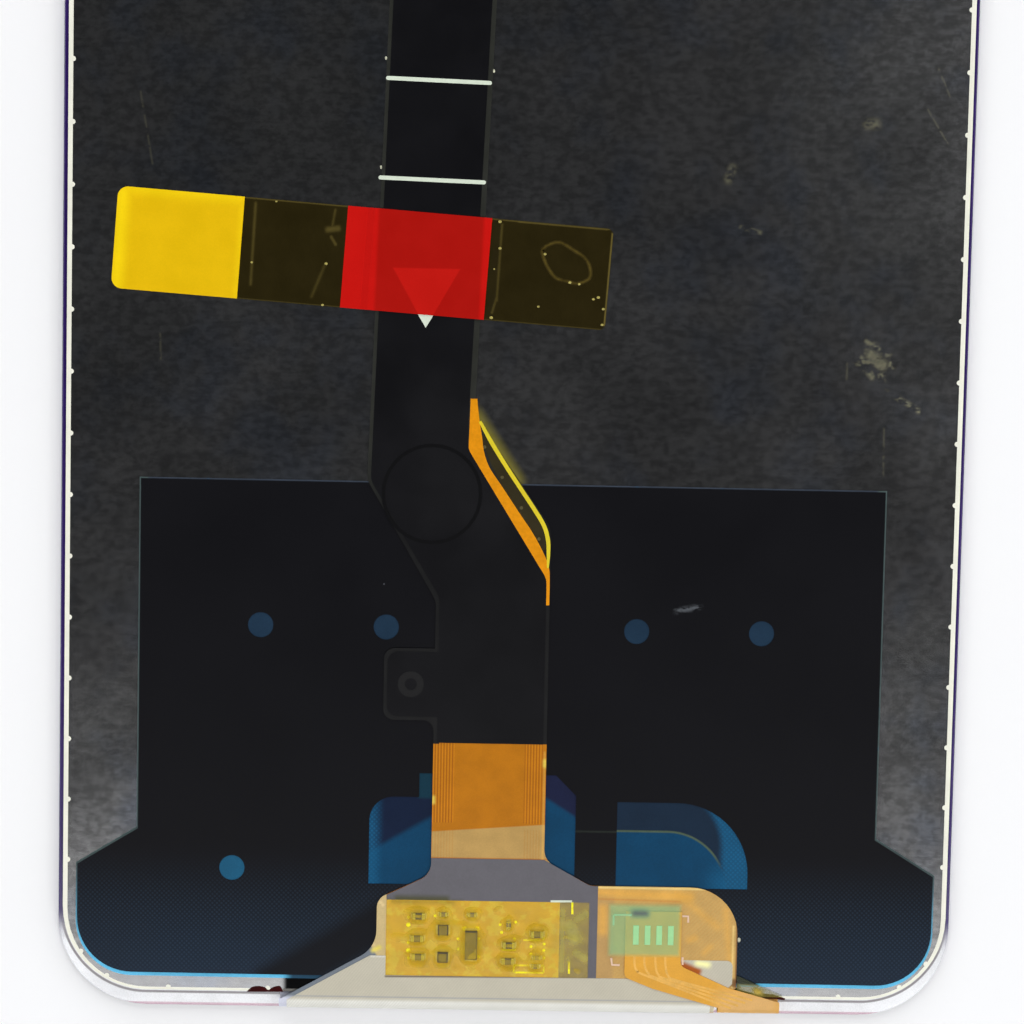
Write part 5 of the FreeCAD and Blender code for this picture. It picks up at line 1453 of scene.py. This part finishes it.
@dataclass
class Cable:
    """The cable's printed marks and its bare flank beside the black film."""

    mark_width: float = 0.33
    edge_widths: tuple[float, ...] = (0.22, *(0.34,) * 6, 0.30, 0.14)
    dark_widths: tuple[float, ...] = (0.3, 1.1, 1.5, 1.5, 1.1, 0.5)
    flex_top: float = 2.62
    via_size: Point = (0.30, 0.30)
    speck_size: Point = (0.18, 0.3)
    stamp_width: float = 0.30
    white_lines: tuple[tuple[Point, Point], ...] = (
        ((-10.96, -5.28), (-2.68, -5.50)),
        ((-11.44, -13.31), (-3.01, -13.53)),
    )
    arrow_tip: tuple[Point, ...] = ((-8.30, -24.20), (-6.82, -24.22), (-7.55, -25.44))
    flank: tuple[Point, ...] = (
        (-2.95, -33.0), (-2.04, -34.60), (-0.80, -36.55), (0.56, -38.55), (1.69, -40.20),
        (2.49, -41.50), (2.84, -42.67), (2.90, -43.8), (2.88, -45.0),
    )
    flank_dark: tuple[Point, ...] = (
        (-2.74, -34.2), (-1.45, -36.3), (0.0, -38.6), (1.2, -40.6), (2.1, -42.2), (2.62, -43.5),
    )
    band_left: tuple[Point, ...] = (
        (-3.75, -31.16), (-3.80, -33.5), (-3.80, -35.54), (-3.32, -36.84), (-2.29, -38.80),
        (-0.48, -41.63), (1.11, -43.81), (2.02, -45.11), (2.44, -46.43), (2.48, -48.09),
    )
    band_right: tuple[Point, ...] = (
        (-3.21, -31.15), (-3.00, -32.89), (-2.75, -34.31), (-2.57, -35.51), (-2.07, -36.82),
        (-0.98, -38.40), (0.45, -40.50), (1.5, -42.0), (2.40, -43.56), (2.96, -44.9),
        (3.06, -46.2), (3.06, -48.08),
    )
    via_places: tuple[Point, ...] = ((-2.53, -35.1), (-1.04, -37.57), (0.59, -40.06), (2.10, -42.6))
    speck_places: tuple[Point, ...] = ((-11.15, -3.69), (-11.41, -12.47), (-2.37, -4.53))
    stamp_centre: Point = (-6.78, -39.05)
    stamp_radius: float = 4.0

    def build(self, shop: Workshop) -> None:
        """Builds the marks, the copper band, the flank and its bright edge.

        Args:
            shop: makes the materials and the pieces.
        """
        film_top = top_of("cable_shield_film")
        ink = Relief()
        for line in self.white_lines:
            ink.strip(line, self.mark_width, film_top, steps=1)
            ink.domes(line, (self.mark_width,) * 2, film_top, 0.012)
        ink.plate(self.arrow_tip, film_top)
        shop.piece("cable_marks", ink, "white ink", "shield_film")
        flank = Relief().strip(self.flank_dark, self.dark_widths, self.flex_top, 0.008)
        shop.piece("bare_flank", flank, "dark flank", "amber_flex")
        vias = Relief().domes(self.via_places, self.via_size, self.flex_top + 0.006, 0.012)
        shop.piece("flank_vias", vias, "flank dot", "amber_flex", smooth=True)
        specks = Relief().domes(self.speck_places, self.speck_size, self.flex_top - 0.004, 0.02)
        shop.piece("cable_specks", specks, "bright speck", "amber_flex", smooth=True)
        outline = smooth_route(self.band_left, 5) + smooth_route(self.band_right, 5)[::-1]
        band = Relief().plate(outline, self.flex_top, 0.03)
        shop.piece("copper_band", band, "copper band", "amber_flex")
        edge = Relief().strip(self.flank, self.edge_widths, self.flex_top, 0.035)
        shop.piece("flank_edge", edge, "yellow edge", "amber_flex")
        spoke = Vector((self.stamp_radius, 0.0))
        turns = [Matrix.Rotation(math.radians(10 * step), 2) for step in range(37)]
        around = [Vector(self.stamp_centre) + turn @ spoke for turn in turns]
        stamp = Relief().strip(around, self.stamp_width, film_top, 0.004, steps=1)
        shop.piece("stamp_ring", stamp, "stamp ink", "shield_film")


@dataclass
class ComponentField:
    """The component area: bevelled chips with bright ends, test pads and the tape over them."""

    tape_step: float = 0.13
    tape_thick: float = 0.03
    tape_play: float = 0.012
    foot_play: float = 0.004
    roof_play: float = 0.01
    smoothings: int = 26
    ripple_lift: float = 0.05
    crease_lift: float = 0.07
    crease_reach: float = 0.25
    border: float = 0.6
    end_share: float = 0.24
    end_play: float = 0.02
    end_bevel: float = 0.025
    pad_level: float = 2.655
    pad_width: float = 0.28
    large_width: float = 0.42
    line_level: float = 2.66
    line_width: float = 0.15
    pad_lines: tuple[tuple[Point, Point], ...] = (
        ((0.75, -78.95), (3.25, -78.95)), ((0.75, -78.35), (3.25, -78.35)),
        ((0.75, -78.95), (0.75, -78.35)), ((3.25, -78.95), (3.25, -78.35)),
        ((-0.3, -77.05), (0.9, -77.05)), ((1.5, -76.2), (2.9, -76.2)),
    )
    pads: tuple[Point, ...] = (
        (-8.11, -74.41), (-6.84, -74.28), (-5.88, -74.26), (-8.10, -75.05), (-8.08, -76.56),
        (-8.07, -77.22), (-8.05, -77.87), (-3.22, -74.22), (-2.58, -74.21), (-3.41, -75.30),
        (-2.35, -75.29), (-0.44, -74.93), (-0.32, -75.58), (0.84, -74.69), (3.18, -76.05),
        (3.25, -76.50), (3.23, -77.04), (3.25, -77.69), (-3.93, -76.18), (-2.22, -76.15),
        (-3.91, -77.04), (-2.20, -77.67), (0.76, -76.10), (2.16, -76.73), (2.17, -77.38),
    )
    large_pads: tuple[Point, ...] = ((-8.10, -75.05), (-8.07, -77.22), (-3.41, -75.30), (-2.35, -75.29))

    def build(self, shop: Workshop) -> None:
        """Builds the chips' bright ends, the pads and the draped tape.

        Args:
            shop: makes the materials and the pieces.
        """
        self.build_ends(shop)
        self.build_pads(shop)
        self.build_tape(shop)

    def build_ends(self, shop: Workshop) -> None:
        """Puts a bright end cap on both ends of each chip.

        Args:
            shop: makes the materials and the pieces.
        """
        caps = Relief()
        for low, high in islands("chip_capacitors") + islands("chip_resistors"):
            cap = high - low
            axis = 0 if cap.x > cap.y else 1
            cap[axis] *= self.end_share
            centre = (low + high) / 2
            for place in (low[axis] + cap[axis] / 2, high[axis] - cap[axis] / 2):
                centre[axis] = place
                caps.block(centre, cap + Vector((self.end_play,) * 3), self.end_bevel)
        shop.piece("chip_ends", caps, "tinned end", "solder")

    def build_pads(self, shop: Workshop) -> None:
        """Lays the small bright test pads and their frames beside the chips.

        Args:
            shop: makes the materials and the pieces.
        """
        pads = Relief()
        for place in self.pads:
            width = self.large_width if place in self.large_pads else self.pad_width
            pads.domes((place,), (width, width), self.pad_level, 0.05)
        shop.piece("test_pads", pads, "bright pad", "solder", smooth=True)
        rows = Relief()
        for line in self.pad_lines:
            rows.strip(line, self.line_width, self.line_level, steps=1)
        shop.piece("pad_frame", rows, "bright pad", "solder")

    def build_tape(self, shop: Workshop) -> None:
        """Drapes the clear tape over the components.

        Args:
            shop: makes the materials and the pieces.
        """
        tape_low, tape_high = (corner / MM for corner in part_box("component_tape"))
        hills = bmesh.new()
        for node in ("chip_capacitors", "chip_resistors", "protection_diodes", "memory_chip"):
            hills.from_mesh(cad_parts[node].data)
        bmesh.ops.scale(hills, vec=(1 / MM,) * 3, verts=hills.verts)
        tree = BVHTree.FromBMesh(hills)
        hills.free()
        size = tape_high - tape_low
        drape = Relief()
        mesh = drape.mesh
        place = Matrix.Translation((tape_low + tape_high) / 2) @ Matrix.Diagonal(
            (size.x / 2, size.y / 2, 1.0, 1.0)
        )
        bmesh.ops.create_grid(
            mesh,
            x_segments=round(size.x / self.tape_step),
            y_segments=round(size.y / self.tape_step),
            size=1.0,
            matrix=place,
        )
        floor = tape_low.z + self.foot_play
        roof = tape_high.z - self.tape_thick - self.roof_play
        least = {}
        for vert in mesh.verts:
            spot = tree.ray_cast(Vector((vert.co.x, vert.co.y, 9.0)), Vector((0, 0, -1)))[0]
            least[vert] = floor if spot is None else spot.z + self.tape_play
            vert.co.z = least[vert]
        for _ in range(self.smoothings):
            bmesh.ops.smooth_vert(mesh, verts=mesh.verts, factor=0.5, use_axis_z=True)
            for vert, level in least.items():
                vert.co.z = max(vert.co.z, level)
        for vert in mesh.verts:
            inset = min(
                vert.co.x - tape_low.x, tape_high.x - vert.co.x,
                vert.co.y - tape_low.y, tape_high.y - vert.co.y,
            )
            ripple = noise.noise(Vector((vert.co.x * 0.9, vert.co.y * 0.9, 3.0)))
            crease = abs(noise.noise(Vector((vert.co.x * 0.5, vert.co.y * 0.8, 8.0))))
            lift = self.ripple_lift * max(ripple, 0.0)
            lift += self.crease_lift * max(self.crease_reach - crease, 0.0)
            vert.co.z += lift * min(max(inset / self.border, 0.0), 1.0)
            vert.co.z = min(vert.co.z, roof)
        bmesh.ops.solidify(mesh, geom=mesh.faces, thickness=self.tape_thick)
        tape = shop.piece("draped_tape", drape, "component_tape", "yellow_clear_tape", smooth=True)
        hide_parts("component_tape")


@dataclass
class Tail:
    """The lamp strip's tail: its traces, the corner marks and the beads of its joints.

    Each group of corner marks has its piece's name, its finish and its lines.
    """

    level: float = 2.74
    trace_width: float = 0.18
    trace_rise: float = 0.002
    root: Point = (-77.4, -78.1)
    knee: Point = (0.9, -0.45)
    bead_play: tuple[float, float, float] = (0.02, 0.02, 0.008)
    bump_size: Point = (0.30, 0.42)
    mark_width: float = 0.17
    mark_level: float = 2.662
    tops: tuple[float, ...] = (10.82, 11.65, 12.57, 13.40)
    bends: tuple[Point, ...] = ((11.07, -78.64), (12.02, -78.85), (12.84, -78.92), (13.67, -79.0))
    ends: tuple[Point, ...] = ((19.0, -81.72), (19.6, -81.50), (20.2, -81.25), (20.8, -81.0))
    marks: tuple[tuple[str, str, tuple[tuple[Point, ...], ...]], ...] = (
        ("white_marks", "white ink", (((3.71, -72.88), (5.5, -72.86)),)),
        ("yellow_marks", "bright pad", (
            ((5.53, -72.95), (5.55, -73.95)), ((5.36, -77.98), (5.38, -79.0)),
        )),
        ("pink_marks", "pink ink", (
            ((8.88, -77.6), (8.96, -78.18), (9.6, -78.2)),
            ((14.74, -73.97), (15.24, -73.97), (15.24, -74.5)),
            ((14.85, -77.45), (14.87, -78.1)),
        )),
    )
    bump: Point = (19.55, -75.95)

    def build(self, shop: Workshop) -> None:
        """Builds the traces, the corner marks, the beads and the bump beside the branch.

        Args:
            shop: makes the materials and the pieces.
        """
        traces = Relief()
        for number, (top, bend, end) in enumerate(zip(self.tops, self.bends, self.ends)):
            knee = (bend[0] + self.knee[0], bend[1] + self.knee[1])
            route = ((top, self.root[0]), (top + 0.03, self.root[1]), bend, knee, end)
            traces.strip(route, self.trace_width, self.level + self.trace_rise * number, 0.008)
        shop.piece("tail_traces", traces, "trace", "strip_flex")
        for name, finish, lines in self.marks:
            marks = Relief()
            for line in lines:
                marks.strip(line, self.mark_width, self.mark_level, 0.010, steps=1)
            shop.piece(name, marks, finish, "amber_flex")
        beads = Relief()
        for low, high in islands("solder_joints"):
            beads.block((low + high) / 2, high - low + Vector(self.bead_play), 0.008)
        shop.piece("joint_beads", beads, "green joint", "solder")
        bump = Relief().domes((self.bump,), self.bump_size, top_of("black_film") - 0.01, 0.12)
        shop.piece("branch_bump", bump, "bright speck", "amber_flex", smooth=True)


@dataclass
class Residue:
    """Dried glue along the frame's lower edge, beside both ends of the fold."""

    left: tuple[Point, ...] = (
        (-21.50, -81.01), (-21.09, -80.63), (-20.54, -80.51), (-19.98, -80.62),
        (-19.70, -80.84), (-19.29, -80.58), (-18.73, -80.49), (-18.45, -80.97),
    )
    right: tuple[Point, ...] = ((20.78, -80.67), (21.62, -80.70), (22.55, -80.77), (23.57, -80.97))
    widths: tuple[float, ...] = (0.16, 0.42, 0.36, 0.14)

    def build(self, shop: Workshop) -> None:
        """Builds both runs of glue on the frame.

        Args:
            shop: makes the materials and the pieces.
        """
        level = top_of("moulded_frame")
        run = Relief().plate(smooth_route(self.left, 4), level, 0.02)
        run.strip(self.right, self.widths, level, 0.02)
        shop.piece("glue_residue", run, "dried glue", "black_tape")


@dataclass
class HoldDownStrip:
    """Creases and bubbles in the amber tape across the cable."""

    level: float = 2.451
    cable_level: float = 2.711
    bubble: tuple[Point, ...] = (
        (1.82, -18.90), (2.35, -18.48), (3.30, -18.26), (4.41, -18.84), (5.38, -19.50),
        (5.81, -20.31), (5.76, -21.12), (4.88, -21.55), (4.06, -21.43), (3.09, -21.18),
        (2.39, -20.38), (1.96, -19.44), (1.82, -18.90),
    )
    glints: tuple[tuple[Point, float], ...] = (
        ((6.14, -22.82), 0.24), ((6.54, -22.67), 0.28), ((1.64, -23.52), 0.22), ((6.98, -23.61), 0.26),
        ((6.90, -24.9), 0.24), ((2.10, -19.23), 0.26), ((4.19, -21.50), 0.28), ((4.95, -21.62), 0.24),
        ((-15.77, -20.38), 0.28), ((-16.02, -23.75), 0.24), ((-19.9, -15.42), 0.20),
        ((-21.83, -20.4), 0.22),
    )
    cable_glints: tuple[tuple[Point, float], ...] = (
        ((-1.64, -16.68), 0.30), ((-1.60, -18.84), 0.28), ((-2.04, -20.54), 0.16),
        ((-2.20, -24.5), 0.30),
    )

    def build(self, shop: Workshop) -> None:
        """Builds the bubble's rim and the small spots, which are painted glints.

        Args:
            shop: makes the materials and the pieces.
        """
        for name, width, finish, thick in (
            ("bubble_haze", 0.34, "amber haze", 0.002), ("bubble_rim", 0.14, "amber crease", 0.005),
        ):
            rim = Relief().strip(self.bubble, width, self.level, thick)
            shop.piece(name, rim, finish, "amber_clear_tape")
        spots = Relief()
        for glints, level in ((self.glints, self.level), (self.cable_glints, self.cable_level)):
            for spot, width in glints:
                spots.domes((spot,), (width, width * 0.8), level, 0.012)
        shop.piece("tape_glints", spots, "tape glint", "amber_clear_tape", smooth=True)


@dataclass(frozen=True)
class Softbox:
    """A soft rectangular light: where it stands seen from the module, its size and radiance.

    The lean is its angle from straight up and the bearing is measured from +X to +Y.
    """

    name: str
    lean: float
    bearing: float
    distance: float
    size: Point
    radiance: float

    def build(self) -> None:
        """Adds the light, turned to the module."""
        lean, bearing = math.radians(self.lean), math.radians(self.bearing)
        away = Vector((
            math.sin(lean) * math.cos(bearing), math.sin(lean) * math.sin(bearing), math.cos(lean)
        ))
        data = bpy.data.lights.new(self.name, "AREA")
        data.shape = "RECTANGLE"
        data.size, data.size_y = self.size
        data.energy = self.radiance * math.pi * self.size[0] * self.size[1]
        light = bpy.data.objects.new(self.name, data)
        light.location = away * self.distance
        light.rotation_mode = "QUATERNION"
        light.rotation_quaternion = away.to_track_quat("Z", "Y")
        bpy.context.scene.collection.objects.link(light)


@dataclass
class Studio:
    """Floor, world, lights and the camera at the photograph's view."""

    floor_size: float = 6.0
    zenith: float = 0.10
    horizon: float = 0.55
    camera_place: tuple[float, float, float] = (-4.0987, -25.8918, 199.6845)
    camera_turn: tuple[float, float, float] = (-4.2144, -1.1384, 1.0954)
    lens: float = 84.375
    lights: tuple[Softbox, ...] = (
        Softbox("bottom softbox", 29.0, -90.0, 0.70, (0.95, 0.22), 4.5),
        Softbox("top softbox", 50.0, 90.0, 0.75, (0.90, 0.45), 2.2),
        Softbox("right softbox", 46.0, 0.0, 0.75, (0.44, 0.80), 1.0),
        Softbox("left softbox", 55.0, 180.0, 0.80, (0.40, 0.80), 0.5),
    )

    def build(self, shop: Workshop) -> None:
        """Builds the whole studio.

        Args:
            shop: makes the materials and the pieces.
        """
        self.build_floor(shop)
        self.build_world()
        for light in self.lights:
            light.build()
        self.build_camera()

    def build_floor(self, shop: Workshop) -> None:
        """Lays the pale floor just under the glass.

        Args:
            shop: makes the materials and the pieces.
        """
        mesh = bmesh.new()
        place = Matrix.Translation((0, 0, -0.02 * MM))
        bmesh.ops.create_grid(mesh, x_segments=1, y_segments=1, size=self.floor_size / 2, matrix=place)
        data = bpy.data.meshes.new("floor")
        mesh.to_mesh(data)
        mesh.free()
        data.materials.append(shop.material("pale floor"))
        floor = bpy.data.objects.new("floor", data)
        bpy.context.scene.collection.objects.link(floor)

    def build_world(self) -> None:
        """Lights the room faintly from above and brighter from the sides."""
        world = bpy.data.worlds.new("studio room")
        world.use_nodes = True
        bpy.context.scene.world = world
        graph = Graph(world.node_tree)
        background = world.node_tree.nodes["Background"]
        towards = world.node_tree.nodes.new("ShaderNodeTexCoord").outputs["Generated"]
        _, _, up = graph.split(towards)
        strength = graph.span(up, 0.15, 0.8, self.horizon, self.zenith)
        graph.feed(background.inputs["Color"], (0.96, 0.98, 1.0))
        graph.feed(background.inputs["Strength"], strength)

    def build_camera(self) -> None:
        """Stands the camera where the photograph was taken from."""
        data = bpy.data.cameras.new("camera")
        data.lens = self.lens
        data.sensor_width = 36.0
        data.clip_start, data.clip_end = 0.01, 20.0
        camera = bpy.data.objects.new("camera", data)
        camera.rotation_mode = "ZYX"
        camera.rotation_euler = [math.radians(angle) for angle in self.camera_turn]
        camera.location = Vector(self.camera_place) * MM
        bpy.context.scene.collection.objects.link(camera)
        bpy.context.scene.camera = camera
        bpy.context.scene.view_settings.view_transform = "Standard"


def main() -> None:
    """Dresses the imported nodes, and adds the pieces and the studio."""
    logging.basicConfig(level=logging.INFO, format="%(name)s: %(message)s")
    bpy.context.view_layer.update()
    shop = Workshop()
    for node in FINISHES:
        shop.dress(node, node)
    for node, finish in NODE_FINISHES.items():
        shop.dress(node, finish)
    for part in (Cable(), ComponentField(), Tail(), Residue(), HoldDownStrip(), Studio()):
        log.info("building %s", type(part).__name__)
        part.build(shop)


if __name__ == "__main__":
    main()
